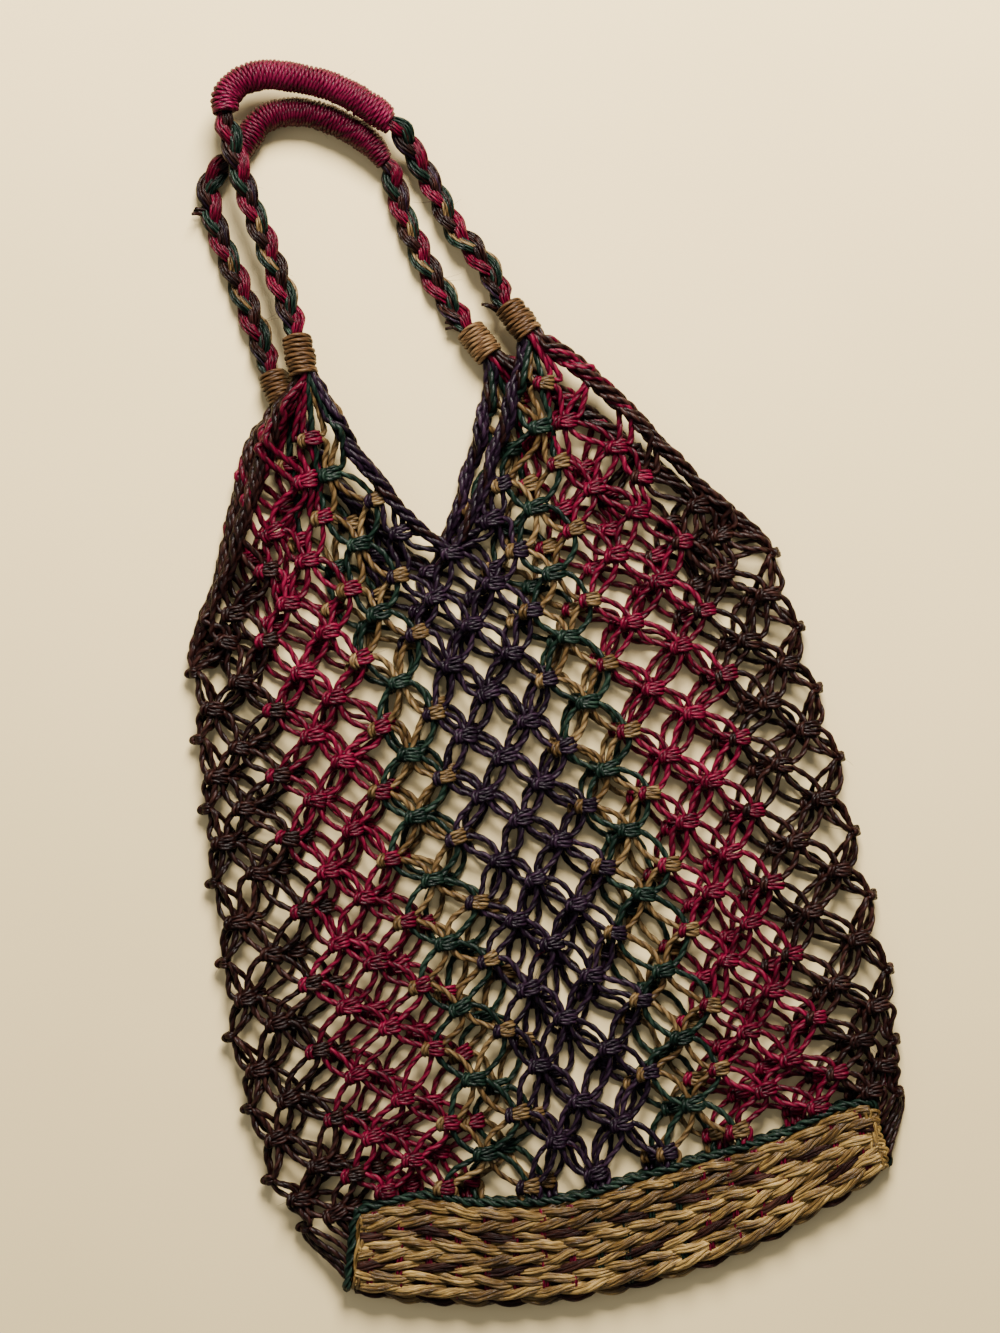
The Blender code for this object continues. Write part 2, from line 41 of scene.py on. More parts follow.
rng = np.random.default_rng(11)     # one seed, so every run gives the same bag
flatUp = np.array((0.0, 0.0, 1.0))
floorGap = 0.05                     # no strand's surface goes lower than this over the floor


# Small helpers for curves, all on whole arrays

def unit(vectors):
    # Each vector divided by its own length
    return vectors / np.maximum(np.linalg.norm(vectors, axis=-1, keepdims=True), 1e-9)


def travelAlong(paths):
    # Length travelled from the first point of each path to each of its points
    steps = np.cumsum(np.linalg.norm(np.diff(paths, axis=-2), axis=-1), axis=-1)
    return np.concatenate([np.zeros_like(steps[..., :1]), steps], axis=-1)


def readAt(wanted, at, values):
    # Each column of the values, known at some places, read at the wanted ones
    return np.stack([np.interp(wanted, at, column) for column in values.T], axis=1)


def smoothPath(points, count):
    # Catmull-Rom curve through the points, read at equal steps of its length
    points = np.asarray(points, dtype=float)
    held = np.vstack([2 * points[:1] - points[1:2], points, 2 * points[-1:] - points[-2:-1]])
    t = np.linspace(0.0, 1.0, 12, endpoint=False)[None, :, None]
    a, b, c, d = (held[i:len(held) - 3 + i][:, None, :] for i in range(4))
    fine = 0.5 * (2 * b + (c - a) * t + (2 * a - 5 * b + 4 * c - d) * t ** 2
                  + (3 * b - a - 3 * c + d) * t ** 3)
    fine = np.vstack([fine.reshape(-1, 3), points[-1:]])
    along = travelAlong(fine)
    return readAt(np.linspace(0.0, along[-1], count), along, fine)


def pathLength(path):
    # Sum of the distances between neighbouring points
    return float(np.linalg.norm(np.diff(path, axis=0), axis=1).sum())


def bezier(legs, count):
    # Cubic Bezier curves; each leg is its start, two handles and its end
    t = np.linspace(0.0, 1.0, count)[None, :, None]
    a, b, c, d = (legs[:, k][:, None, :] for k in range(4))
    return (1 - t) ** 3 * a + 3 * (1 - t) ** 2 * t * b + 3 * (1 - t) * t ** 2 * c + t ** 3 * d


def axesAlong(paths, reference=flatUp):
    # The side and up axes square to the direction of travel
    ahead = unit(np.gradient(paths, axis=-2))
    side = unit(np.cross(ahead, reference))
    return side, np.cross(side, ahead)


def shifted(line, side, across, up, lift):
    # Each point moved by its own distances along the two axes
    return line + side * across[:, None] + up * lift[:, None]


def camelName(name):
    # front_braid_left becomes frontBraidLeft
    first, *others = name.split("_")
    return first + "".join(word.capitalize() for word in others)


def withColour(name, colour):
    # frontNet and darkBrown become frontNetDarkBrown
    return name + colour[0].upper() + colour[1:]


# Strands wait here, by piece, until their mesh is made

strandStore = {}


def addStrands(piece, paths, radius, sides=6, reference=flatUp, flatten=1.0, lobes=0.0, lobePitch=8.0):
    # Surface of each strand: path + r(a) * (cos(a) * side + flatten * sin(a) * up),
    # where r(a) = radius * (1 - lobes * cos(2 * (a + turn))) and turn grows with the length travelled
    paths = np.asarray(paths, dtype=float)
    if paths.ndim == 2:
        paths = paths[None]
    strands, stations = paths.shape[:2]
    radii = np.broadcast_to(np.asarray(radius, dtype=float), (strands, stations))
    side, up = axesAlong(paths, reference)
    travelled = travelAlong(paths) + rng.uniform(0.0, 40.0, (strands, 1))    # its pattern starts anywhere
    angle = (2 * np.pi * np.arange(sides) / sides)[None, None, :]
    turn = 2 * np.pi * travelled[:, :, None] / lobePitch
    reach = radii[:, :, None] * (1 - lobes * np.cos(2 * (angle + turn)))
    ring = (np.cos(angle)[..., None] * side[:, :, None, :]
            + flatten * np.sin(angle)[..., None] * up[:, :, None, :])
    places = paths[:, :, None, :] + reach[..., None] * ring
    places[..., 2] = np.maximum(places[..., 2], floorGap)
    shade = np.repeat(rng.uniform(0.0, 1.0, strands), stations * sides)
    strandStore.setdefault(piece, []).append((places, travelled, shade))


def stripFaces(strands, stations, sides):
    # Quads between one ring of points and the next, and the two end rings, all facing outwards
    index = np.arange(strands * stations * sides).reshape(strands, stations, sides)
    after = np.roll(index, -1, axis=2)
    quads = np.stack([index[:, :-1], index[:, 1:], after[:, 1:], after[:, :-1]], axis=-1).reshape(-1, 4)
    return quads, index[:, 0, :], index[:, -1, ::-1]


def meshFromStrands(name, batches, material):
    # One mesh of all the batches, with lengthwise and round-the-strand positions in its UV map
    verts, loops, totals, uvs, shades = [], [], [], [], []
    offset = 0
    for places, travelled, shade in batches:
        strands, stations, sides = places.shape[:3]
        quads, starts, ends = stripFaces(strands, stations, sides)
        verts.append(places.reshape(-1, 3) * mm)
        shades.append(shade)
        lengthwise = np.repeat(travelled.reshape(-1), sides)
        around = np.tile(np.arange(sides) / sides, strands * stations)
        quadAround = around[quads]
        quadAround[:, 2:] = quadAround[:, :2][:, ::-1] + 1.0 / sides    # one side further, past the seam too
        for faces in (quads, starts, ends):
            loops.append(faces.reshape(-1) + offset)
            totals.append(np.full(len(faces), faces.shape[1]))
        uvs.append(np.stack([lengthwise[quads], quadAround], axis=-1).reshape(-1, 2))
        for faces in (starts, ends):
            uvs.append(np.stack([lengthwise[faces], around[faces]], axis=-1).reshape(-1, 2))
        offset += strands * stations * sides
    verts, loops, totals = np.concatenate(verts), np.concatenate(loops), np.concatenate(totals)
    mesh = bpy.data.meshes.new(name)
    mesh.vertices.add(len(verts))
    mesh.vertices.foreach_set("co", verts.reshape(-1))
    mesh.loops.add(len(loops))
    mesh.loops.foreach_set("vertex_index", loops.astype(np.int32))
    mesh.polygons.add(len(totals))
    mesh.polygons.foreach_set("loop_start", (np.cumsum(totals) - totals).astype(np.int32))
    mesh.update(calc_edges=True)
    layer = mesh.uv_layers.new(name="strand")
    layer.data.foreach_set("uv", np.concatenate(uvs).reshape(-1))
    shadeLayer = mesh.attributes.new("strandShade", "FLOAT", "POINT")
    shadeLayer.data.foreach_set("value", np.concatenate(shades))
    mesh.shade_smooth()
    mesh.materials.append(material)
    mesh.validate()
    return mesh


def makePiece(name, nodes, material):
    # The stored strands become one object that stands for its CAD nodes
    item = bpy.data.objects.new(name, meshFromStrands(name, strandStore.pop(name), material))
    bpy.context.scene.collection.objects.link(item)
    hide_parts(*nodes)
    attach(item, "root")
    print("piece", name, "faces", len(item.data.polygons))
    return item


def makeColoured(prefix, nodes):
    # One object for each colour of the strands stored under this prefix
    for name in sorted(strandStore):
        if name.startswith(prefix):
            colour = name[len(prefix):]
            makePiece(name, nodes, materials[colour[0].lower() + colour[1:]])


# Finishes

finishes = {
    # name: groove colour, painted shade in the grooves between plies; middle colour; fibre colour, partly
    # painted highlight on the ply crowns; millimetres to a turn of the twist
    "crimson": ((0.0040, 0.0001, 0.0008), (0.056, 0.0005, 0.0078), (0.260, 0.0085, 0.046), 13.0),
    "darkBrown": ((0.0014, 0.0004, 0.0003), (0.0080, 0.0019, 0.0015), (0.066, 0.024, 0.018), 13.0),
    "purple": ((0.0012, 0.0005, 0.0013), (0.0062, 0.0021, 0.0062), (0.050, 0.023, 0.046), 13.0),
    "green": ((0.0005, 0.0014, 0.0010), (0.0026, 0.0084, 0.0052), (0.034, 0.062, 0.040), 13.0),
    "tan": ((0.009, 0.0035, 0.001), (0.072, 0.041, 0.0145), (0.34, 0.235, 0.105), 13.0),
    "grip": ((0.007, 0.0001, 0.0014), (0.060, 0.0006, 0.0110), (0.34, 0.017, 0.088), 9.0),
    "bindingTan": ((0.006, 0.002, 0.001), (0.064, 0.031, 0.0115), (0.30, 0.185, 0.085), 16.0),
}
strawFinishes = {
    # name: dark split, painted shade between the strips; middle colour; pale streak, painted highlight;
    # specular level
    "straw": ((0.0075, 0.0028, 0.0008), (0.078, 0.039, 0.0083), (0.50, 0.320, 0.092), 0.28),
    "darkStraw": ((0.0020, 0.0006, 0.0005), (0.0090, 0.0024, 0.0018), (0.060, 0.022, 0.014), 0.08),
}


def addNode(tree, kind, **values):
    node = tree.nodes.new(kind)
    for key, value in values.items():
        setattr(node, key, value)
    return node


def mathNode(tree, operation, first, second=None):
    node = addNode(tree, "ShaderNodeMath", operation=operation)
    for socket, value in zip(node.inputs, (first, second)):
        if value is None:
            continue
        if isinstance(value, (int, float)):
            socket.default_value = value
        else:
            tree.links.new(value, socket)
    return node.outputs[0]


def newMaterial(name):
    material = bpy.data.materials.new(name)
    material.use_nodes = True
    tree = material.node_tree
    return material, tree, tree.nodes["Principled BSDF"]


def ramp(tree, factor, stops):
    node = addNode(tree, "ShaderNodeValToRGB")
    for _ in stops[2:]:
        node.color_ramp.elements.new(0.5)
    for element, (place, colour) in zip(node.color_ramp.elements, stops):
        element.position = place
        element.color = (*colour, 1.0)
    tree.links.new(factor, node.inputs["Fac"])
    return node.outputs["Color"]


def addNoise(tree, vector, scale, detail=2.0, dimensions="3D"):
    node = addNode(tree, "ShaderNodeTexNoise", noise_dimensions=dimensions)
    node.inputs["Scale"].default_value = scale
    node.inputs["Detail"].default_value = detail
    tree.links.new(vector, node.inputs["Vector"])
    return node.outputs["Fac"]


def addStreaks(tree, lengthwise, lengthScale, around, aroundScale, scale, detail):
    # Noise drawn out along the strand
    stretch = addNode(tree, "ShaderNodeCombineXYZ")
    tree.links.new(mathNode(tree, "MULTIPLY", lengthwise, lengthScale), stretch.inputs[0])
    tree.links.new(mathNode(tree, "MULTIPLY", around, aroundScale), stretch.inputs[1])
    return addNoise(tree, stretch.outputs[0], scale, detail, "2D")


def strandSockets(tree):
    # Lengthwise and round-the-strand position, the strand's own shade, and the place on the object
    uv = addNode(tree, "ShaderNodeUVMap", uv_map="strand")
    split = addNode(tree, "ShaderNodeSeparateXYZ")
    tree.links.new(uv.outputs[0], split.inputs[0])
    shade = addNode(tree, "ShaderNodeAttribute", attribute_name="strandShade")
    place = addNode(tree, "ShaderNodeTexCoord")
    return split.outputs[0], split.outputs[1], shade.outputs["Fac"], place.outputs["Object"]


def weightedSum(tree, parts, less):
    # Each value times its weight, added up, less a constant
    total = -less
    for value, weight in parts:
        total = mathNode(tree, "ADD", mathNode(tree, "MULTIPLY", value, weight), total)
    return total


def finishShader(tree, shader, colour, relief, bumpStrength, roughness, specular):
    tree.links.new(colour, shader.inputs["Base Color"])
    bump = addNode(tree, "ShaderNodeBump")
    bump.inputs["Strength"].default_value = bumpStrength
    bump.inputs["Distance"].default_value = 0.0006
    tree.links.new(relief, bump.inputs["Height"])
    tree.links.new(bump.outputs[0], shader.inputs["Normal"])
    shader.inputs["Roughness"].default_value = roughness
    shader.inputs["Specular IOR Level"].default_value = specular


def yarnMaterial(name, plies=2.0):
    # Plies lie as stripes round the strand, as |sin| of the phase, with painted shade in the grooves between
    # them and painted highlight on their crowns; fibres are fine streaks along it
    paintedGrooveShade, middle, fibreAndPaintedHighlight, turn = finishes[name]
    material, tree, shader = newMaterial(name)
    lengthwise, around, shade, place = strandSockets(tree)
    phase = mathNode(tree, "ADD", mathNode(tree, "MULTIPLY", lengthwise, plies / turn),
                     mathNode(tree, "MULTIPLY", around, plies))
    wave = mathNode(tree, "ABSOLUTE", mathNode(tree, "SINE", mathNode(tree, "MULTIPLY", phase, math.pi)))
    streaks = addStreaks(tree, lengthwise, 0.16, phase, 5.0, 1.7, 3.0)
    patches = addNoise(tree, place, 60.0)
    mixed = weightedSum(tree, ((mathNode(tree, "POWER", wave, 0.6), 0.34), (streaks, 0.62), (shade, 0.22),
                               (patches, 0.30)), 0.40)
    # The ramp runs from painted shade in the grooves through the middle colour to the fibre colour, which is
    # partly painted highlight
    colour = ramp(tree, mixed, ((0.10, paintedGrooveShade), (0.48, middle), (1.0, fibreAndPaintedHighlight)))
    relief = mathNode(tree, "ADD", wave, mathNode(tree, "MULTIPLY", streaks, 0.5))
    finishShader(tree, shader, colour, relief, 0.8, 0.33, 0.10)
    return material


def strawMaterial(name):
    # Flat leaf strips: long streaks along each strand, partly real grain, with paler patches; the streaks'
    # dark splits are painted shade between the strips and their pale ends painted highlight
    dark, middle, light, specular = strawFinishes[name]
    material, tree, shader = newMaterial(name)
    lengthwise, around, shade, place = strandSockets(tree)
    streaks = addStreaks(tree, lengthwise, 0.05, around, 9.0, 3.0, 5.0)
    patches = addNoise(tree, place, 45.0, 3.0)
    mixed = weightedSum(tree, ((streaks, 0.75), (shade, 0.16), (patches, 0.45)), 0.16)
    # Dark end: painted shade between the strips; pale end: painted highlight
    colour = ramp(tree, mixed, ((0.30, dark), (0.51, middle), (0.76, light)))
    finishShader(tree, shader, colour, streaks, 0.7, 0.28, specular)
    return material


materials = {name: yarnMaterial(name) for name in finishes}
materials.update({name: strawMaterial(name) for name in strawFinishes})


# The net: knots read off row by row, in millimetres of the bag's own frame

net = {
    "cordRadius": 1.46,  # a cord is two yarns twisted together
    "cordLobes": 0.11,  # how far the two yarns stand out of it
    "cordTurn": 13.0,
    "cordEvenness": (0.90, 1.08),  # thinnest and thickest cord, times the radius
    "wander": 0.16,
    "sag": (-1.2, 0.4),  # lowest and highest middle of a leg
    "legHandle": 0.40,  # share of a leg's length that leads straight out of a knot
    "legBulge": (0.92, 1.22),  # least and most of that
    "legPoints": 19,
    "height": 9.8,
    "sideHeight": 6.2,
    "rise": (7.3, 2.9),  # towards the left and the right binding
    "jitter": 0.8,  # of the even rows, which aren't read off
    "foldPull": 0.14,  # how far the knots beside a fold follow its own knots
}
backNet = {
    "height": 2.7,
    "rise": 4.0,
    "crowding": 13.0,  # how far its columns slide towards the middle, near the base
    "crowdRows": ((3, 9, 13, 18), (0.0, 0.22, 0.45, 1.0)),  # rows, and their share of that
    "sideCrowding": 8.0,  # and how much more those beside the folds slide, higher up
    "sideRows": ((5, 8, 14, 18), (0.0, 1.0, 1.0, 0.0)),
    "peakX": (-12.0, -7.5),  # shift of the peaks: at the left fold, and the gain to the right one
    "peakY": (-10.5, 5.0),
    "swell": ((7, 9, 13, 17, 20, 22), (0, 3, 0, -9, -8, 0)),  # rows, and how far their middle shifts up
}
knotShape = {
    "yarnRadius": 1.12,
    "yarnEvenness": (0.94, 1.10),
    "roughness": 0.06,
    "lean": 0.10,
    "size": (0.92, 1.06),
    "foldSize": 0.62,  # knots on a fold are seen end on
    "barHalf": (4.25, 5.25),  # half the width of a bar
    "barPlace": 1.15,  # of a bar's middle, up or down from the knot's
    "barBulge": (0.2, 0.9),
    "barSlant": (0.3, 1.1),
    "barHeight": (1.8, 2.6),
    "yarnGap": 1.6,
    "yarnFan": (-0.35, 0.55),
    "loopPlace": -3.4,
    "loopGap": 1.8,
    "loopReach": 3.0,
    "loopHeight": 3.5,
}
columns = 10
lastRow = 23

# Odd rows in the two peaks: column, x and y of each knot
peakRows = {
    1: ((3, -59, 129), (7, 61, 130)),
    3: ((2, -88, 88), (3, -62, 90), (4, -34, 93), (6, 29, 86), (7, 59, 90), (8, 89, 91)),
    5: ((1, -116, 53), (2, -88, 52), (3, -57, 52), (4, -32, 53), (5, -3, 58), (6, 29, 52), (7, 59, 56),
        (8, 92, 57), (9, 122, 53)),
}
# Odd rows below the peaks: the x and then the y of the eleven knots from the left fold to the right one
tubeRows = {
    7: ((-142, -120, -89, -59, -29, -1, 29, 59, 96, 127, 153), (29, 19, 17, 17, 23, 21, 21, 20, 21, 18, 22)),
    9: ((-147, -128, -91, -58, -30, -1, 29, 60, 98, 132, 157),
        (-4, -13, -15, -19, -18, -14, -14, -13, -13, -18, -17)),
    11: ((-151, -133, -97, -65, -32, 0, 30, 63, 97, 135, 159),
         (-39, -43, -47, -50, -50, -47, -49, -48, -47, -50, -49)),
    13: ((-156, -134, -99, -68, -33, 1, 34, 66, 98, 134, 162),
         (-76, -76, -83, -84, -81, -79, -80, -81, -82, -82, -85)),
    15: ((-160, -136, -102, -67, -30, 1, 36, 68, 99, 133, 161),
         (-116, -117, -119, -116, -115, -110, -112, -118, -119, -121, -123)),
    17: ((-165, -141, -104, -67, -31, 2, 34, 70, 101, 132, 162),
         (-153, -151, -151, -149, -144, -143, -145, -152, -155, -157, -156)),
    19: ((-164, -144, -108, -68, -31, 0, 39, 72, 104, 137, 162),
         (-190, -189, -185, -181, -180, -181, -181, -191, -191, -195, -194)),
    21: ((-162, -137, -107, -69, -34, -2, 34, 69, 105, 142, 157),
         (-227, -225, -217, -219, -222, -223, -217, -223, -226, -225, -229)),
    23: ((-150, -134, -107, -78, -37, -3, 34, 71, 113, 141, 153),
         (-254, -250, -245, -250, -259, -260, -258, -255, -252, -251, -255)),
}


def knotGrid():
    # x and y for each row and half column; even rows lie midway between their neighbours above and below
    grid = np.full((lastRow + 2, 2 * columns + 1, 2), np.nan)
    for row, knots in peakRows.items():
        for column, x, y in knots:
            grid[row, 2 * column] = (x, y)
    for row, (xs, ys) in tubeRows.items():
        grid[row, ::2] = np.stack([xs, ys], axis=1)
    padded = np.pad(grid, ((0, 0), (1, 1), (0, 0)), constant_values=np.nan)
    with np.errstate(all="ignore"):
        pairMean = np.nanmean(np.stack([padded[:, :-2], padded[:, 2:]]), axis=0)
    for row in range(2, lastRow, 2):
        grid[row, 1::2] = (pairMean[row - 1, 1::2] + pairMean[row + 1, 1::2]) / 2
        if row > 6:
            grid[row, 1] += (grid[row - 1, 0] - grid[row - 1, 2]) * net["foldPull"]
            grid[row, -2] += (grid[row - 1, -1] - grid[row - 1, -3]) * net["foldPull"]
    jitter = rng.normal(0.0, net["jitter"], grid.shape)
    jitter[1::2] = 0.0
    return grid + jitter


def smoothStep(y, low, high):
    # 3 t^2 - 2 t^3, from 0 at low to 1 at high
    share = np.clip((y - low) / (high - low), 0.0, 1.0)
    return share * share * (3 - 2 * share)


def layerPlaces(behind):
    # The grid with heights; the back layer slides from the front one, most at the peaks
    places = frontGrid.copy()
    share = np.arange(2 * columns + 1)[None, :] / (2 * columns)
    rows = np.arange(lastRow + 2)[:, None]
    beside = np.minimum(share, 1 - share) * columns
    if behind:
        inPeak = np.clip((9 - rows) / 5.0, 0.0, 1.0) * (beside > 0)
        besideFold = np.sign(0.5 - share) * np.exp(-((beside - 1.0) / 0.6) ** 2)
        crowding = backNet["crowding"] * np.sin(2 * np.pi * share)
        places[..., 0] += crowding * np.interp(rows, *backNet["crowdRows"])
        places[..., 0] += backNet["sideCrowding"] * besideFold * np.interp(rows, *backNet["sideRows"])
        places[..., 0] += inPeak * (backNet["peakX"][0] + backNet["peakX"][1] * share)
        places[..., 1] += inPeak * (backNet["peakY"][0] + backNet["peakY"][1] * share)
        places[..., 1] += np.interp(rows, *backNet["swell"]) * np.sin(np.pi * share)
        z = backNet["height"] + backNet["rise"] * smoothStep(places[..., 1], 112.0, 146.0)
    else:
        lift = net["rise"][0] * (1 - share) + net["rise"][1] * share
        z = net["height"] + lift * smoothStep(places[..., 1], 80.0, 140.0)
    fold = np.clip(beside / 0.9, 0.0, 1.0)
    z = net["sideHeight"] + (z - net["sideHeight"]) * np.sin(fold * np.pi / 2)
    return np.concatenate([places, z[..., None]], axis=-1)


def cordColour(position):
    # Colour of the cord at this many columns from the left fold
    quarter = int(round((min(position, columns - position) - 0.125) * 4))
    if quarter < 6:
        return "darkBrown"
    if quarter < 12:
        return "crimson"
    if quarter < 16:
        return "green" if quarter in (12, 15) else "tan"
    return "purple"


def layerKnots(places, behind):
    # Every knot of a layer: its place, and its own across and down axes, by half column and row
    knots = {}
    for row in range(1, lastRow + 1):
        for half in range(2 * columns + 1):
            onFold = half in (0, 2 * columns)
            place = places[row, half]
            if np.isnan(place[0]) or (behind and onFold):
                continue
            # The row's next knot on either side, or this one where there is none
            left = places[row, max(half - 2, half % 2)]
            right = places[row, min(half + 2, 2 * columns - half % 2)]
            left = place if np.isnan(left[0]) else left
            right = place if np.isnan(right[0]) else right
            across = np.array((right[0] - left[0], right[1] - left[1], 0.0))
            across = unit(across) if np.linalg.norm(across) >= 1.0 else np.array((1.0, 0.0, 0.0))
            lean = rng.normal(0.0, knotShape["lean"])
            across = across * math.cos(lean) + np.array((-across[1], across[0], 0.0)) * math.sin(lean)
            down = np.array((across[1], -across[0], 0.0))
            size = rng.uniform(*knotShape["size"])
            if onFold:
                across = unit(np.array((0.55, 0.0, 0.84 if half == 0 else -0.84)))
                down = np.array((0.0, -1.0, 0.0))
                size *= knotShape["foldSize"]
            knots[(half, row)] = (place, across * size, down * size)
    return knots


# Where each cord leaves or enters a knot: across, up, and its direction there
exits = {-3: (-4.6, -1.0, -0.86, -0.50), -1: (-1.2, -2.6, -0.20, -0.98),
         1: (1.2, -2.6, 0.20, -0.98), 3: (4.6, -1.0, 0.86, -0.50)}
entries = {-3: (-4.6, 1.0, 0.80, -0.60), -1: (-1.2, 2.6, 0.30, -0.95),
           1: (1.2, 2.6, -0.30, -0.95), 3: (4.6, 1.0, -0.80, -0.60)}


def portAt(knot, port, table):
    # A cord's place and direction at a knot; eighths of a column name the port
    place, across, down = knot
    x, y, aimX, aimY = table[port]
    return place + across * x - down * y + np.array((0, 0, 0.2)), unit(across * aimX - down * aimY)


def addCords(layer, colour, paths, share, sides=8):
    # Two-yarn cords of the net, thicker or thinner than usual by a share
    addStrands(withColour(layer + "Net", colour), paths, net["cordRadius"] * share, sides=sides,
               lobes=net["cordLobes"], lobePitch=net["cordTurn"])


def addCurves(layer, waiting):
    # Bezier cords of one layer, a batch for each colour; they hang a little and wander sideways by sin
    t = np.linspace(0.0, 1.0, net["legPoints"])
    for colour, legs in waiting.items():
        curves = bezier(np.array(legs), net["legPoints"])
        wander = rng.normal(0.0, net["wander"], (len(curves), 1))
        curves += axesAlong(curves)[0] * (np.sin(2 * np.pi * t)[None] * wander)[..., None]
        curves[..., 2] += np.sin(np.pi * t)[None] * rng.uniform(*net["sag"], (len(curves), 1))
        evenness = rng.uniform(*net["cordEvenness"], (len(curves), 1))
        addCords(layer, colour, curves, evenness, 8 if layer == "front" else 6)


def addLegs(layer, knots):
    # A leg of two cords runs from each knot to the next row's knot on either side
    waiting = {}
    for (half, row), knot in knots.items():
        for turn in (-1, 1):
            below = knots.get((half + turn, row + 1))
            if below is None:
                continue
            for port in (1, 3):
                start, startAim = portAt(knot, turn * port, exits)
                end, endAim = portAt(below, turn * (port - 4), entries)
                reach = net["legHandle"] * np.linalg.norm(end - start) * rng.uniform(*net["legBulge"], 2)
                colour = cordColour(half / 2 + turn * port / 8)
                waiting.setdefault(colour, []).append((start, start + startAim * reach[0],
                                                       end - endAim * reach[1], end))
    addCurves(layer, waiting)


def addKnots(layer, knots):
    # A square knot: two bars of two yarns each over the fillers, in the left worker's colour,
    # and one upright loop of two yarns at the left, in the right worker's colour. Each yarn is an arch:
    # it rises by sqrt(1 - t^2) and bulges by 1 - t^2 as t goes from -1 to 1
    waiting = {}
    t = np.linspace(-1.0, 1.0, 11)
    arch = 1 - t ** 2
    for (half, _), (place, across, down) in knots.items():
        barColour = cordColour(half / 2 - 0.375) if half > 0 else "darkBrown"
        loopColour = cordColour(half / 2 + 0.375) if half < 2 * columns else "darkBrown"
        square = unit(np.cross(across, -down))
        for sign in (1, -1):
            slant, bulge, width, height = (rng.uniform(*knotShape[key]) for key in
                                           ("barSlant", "barBulge", "barHalf", "barHeight"))
            for yarn in (-0.5, 0.5):
                fan = rng.uniform(*knotShape["yarnFan"])
                level = sign * (knotShape["barPlace"] + bulge * arch + slant * t)
                level = level + yarn * knotShape["yarnGap"] * (1 + fan * t)
                bar = (place + np.outer(t * width * (1 - 0.12 * sign * yarn), across) - np.outer(level, down)
                       + np.outer(0.3 + height * np.sqrt(arch), square))
                waiting.setdefault(barColour, []).append(bar)
        x = knotShape["loopPlace"] + rng.uniform(-0.4, 0.4)
        for yarn in (-0.5, 0.5):
            loop = (place + np.outer(x - 1.3 * arch + 0.6 * t + yarn * knotShape["loopGap"], across)
                    - np.outer(t * knotShape["loopReach"], down)
                    + np.outer(0.2 + knotShape["loopHeight"] * np.sqrt(arch), square))
            waiting.setdefault(loopColour, []).append(loop)
    for colour, bars in waiting.items():
        bars = np.array(bars)
        bars = bars + rng.normal(0.0, knotShape["roughness"], bars.shape)
        radius = knotShape["yarnRadius"] * rng.uniform(*knotShape["yarnEvenness"], (len(bars), 1))
        addStrands(withColour(layer + "Net", colour), bars, radius, sides=7, reference=(0.08, 0.05, 1.0))


frontGrid = knotGrid()
layers = {"front": layerPlaces(False), "back": layerPlaces(True)}
knotSets = {"front": layerKnots(layers["front"], False), "back": layerKnots(layers["back"], True)}
sideKnots = {key: knot for key, knot in knotSets["front"].items() if key[0] in (0, 2 * columns)}
addKnots("front", knotSets["front"])
addLegs("front", knotSets["front"])
addKnots("back", knotSets["back"])
addLegs("back", {**knotSets["back"], **sideKnots})
print("net knots", len(knotSets["front"]) + len(knotSets["back"]))


# The base's numbers; the net's last cords are tied to its upper edge

base = {
    # corners of the panel as it lies; the fold bows by foldSag; the plies take stitch for half a turn
    "leftTop": (-122.5, -254.65), "leftFold": (-135.0, -288.65),
    "rightTop": (138.8, -254.65), "rightFold": (138.6, -288.65),
    "foldSag": 29.5, "height": 12.0, "stitch": 17.0, "stations": 165,
    # share of the length, y: the upper edge's waves
    "edge": ((0.0, -253.5), (0.124, -253.6), (0.224, -263.5), (0.38, -271.5), (0.526, -269.6),
             (0.702, -266.7), (0.821, -264.3), (0.94, -257.8), (1.0, -259.0)),
    "narrow": 0.74,  # a d or e row's width beside a straw row's
    "sheet": (1.5, 1.8),  # of the core, a dark sheet painted as the shade inside the fold: how far it lies under the rows, and its thickness
}
baseLength = base["rightTop"][0] - base["leftTop"][0]
edgeCurve = smoothPath([(share * baseLength, y, 0.0) for share, y in base["edge"]], 80)


def upperEdge(share):
    # y of the panel's upper edge at this share of its length
    return np.interp(np.asarray(share) * baseLength, edgeCurve[:, 0], edgeCurve[:, 1])


def edgeHeight(x):
    # y of the edging cord's middle line at this x, 2.6 mm beyond the panel's edge
    return float(upperEdge((x - base["leftTop"][0]) / baseLength)) + 2.6


# Ends of the columns: short ones at the upper edge, long ones past the base's corners

endPlaces = {
    # half column: where the last knot's four cords are tied to the edging, from its left to its right
    0: ((-136.5, -283), (-135.5, -279.5), (-134.0, -276), (-132.5, -271)),
    2: ((-130.0, -266), (-128.5, -262), (-126.0, -257), (-122.0, -252.5)),
    18: ((133.0, -254), (138.0, -256), (141.0, -260), (141.5, -264)),
    20: ((142.0, -269), (142.0, -274), (142.0, -279), (141.5, -285)),
}
endHeights = {"front": 9.5, "back": 3.2}
for layer, z in endHeights.items():
    waiting = {}
    for half in range(0, 2 * columns + 1, 2):
        knot = knotSets[layer].get((half, lastRow))
        if knot is None:
            continue
        for index, port in enumerate((-3, -1, 1, 3)):
            start, startAim = portAt(knot, port, exits)
            if half in endPlaces:
                end = np.array((*endPlaces[half][index], z))
            else:
                x = knot[0][0] + port * 1.5
                end = np.array((x, edgeHeight(x) + 1.0, z + (1.6 if port in (-1, 1) else 0.6)))
            reach = 0.35 * np.linalg.norm(end - start)
            endAim = unit(np.array((0.35 if half < columns else -0.35, -0.9, 0.0)))
            colour = cordColour(min(max(half / 2 + port / 8, 0.0), columns))
            waiting.setdefault(colour, []).append((start, start + startAim * reach,
                                                   end - endAim * reach, end))
    addCurves(layer, waiting)


# Peaks: cords fan out from each binding, those of the edges in bundles that thin out row by row

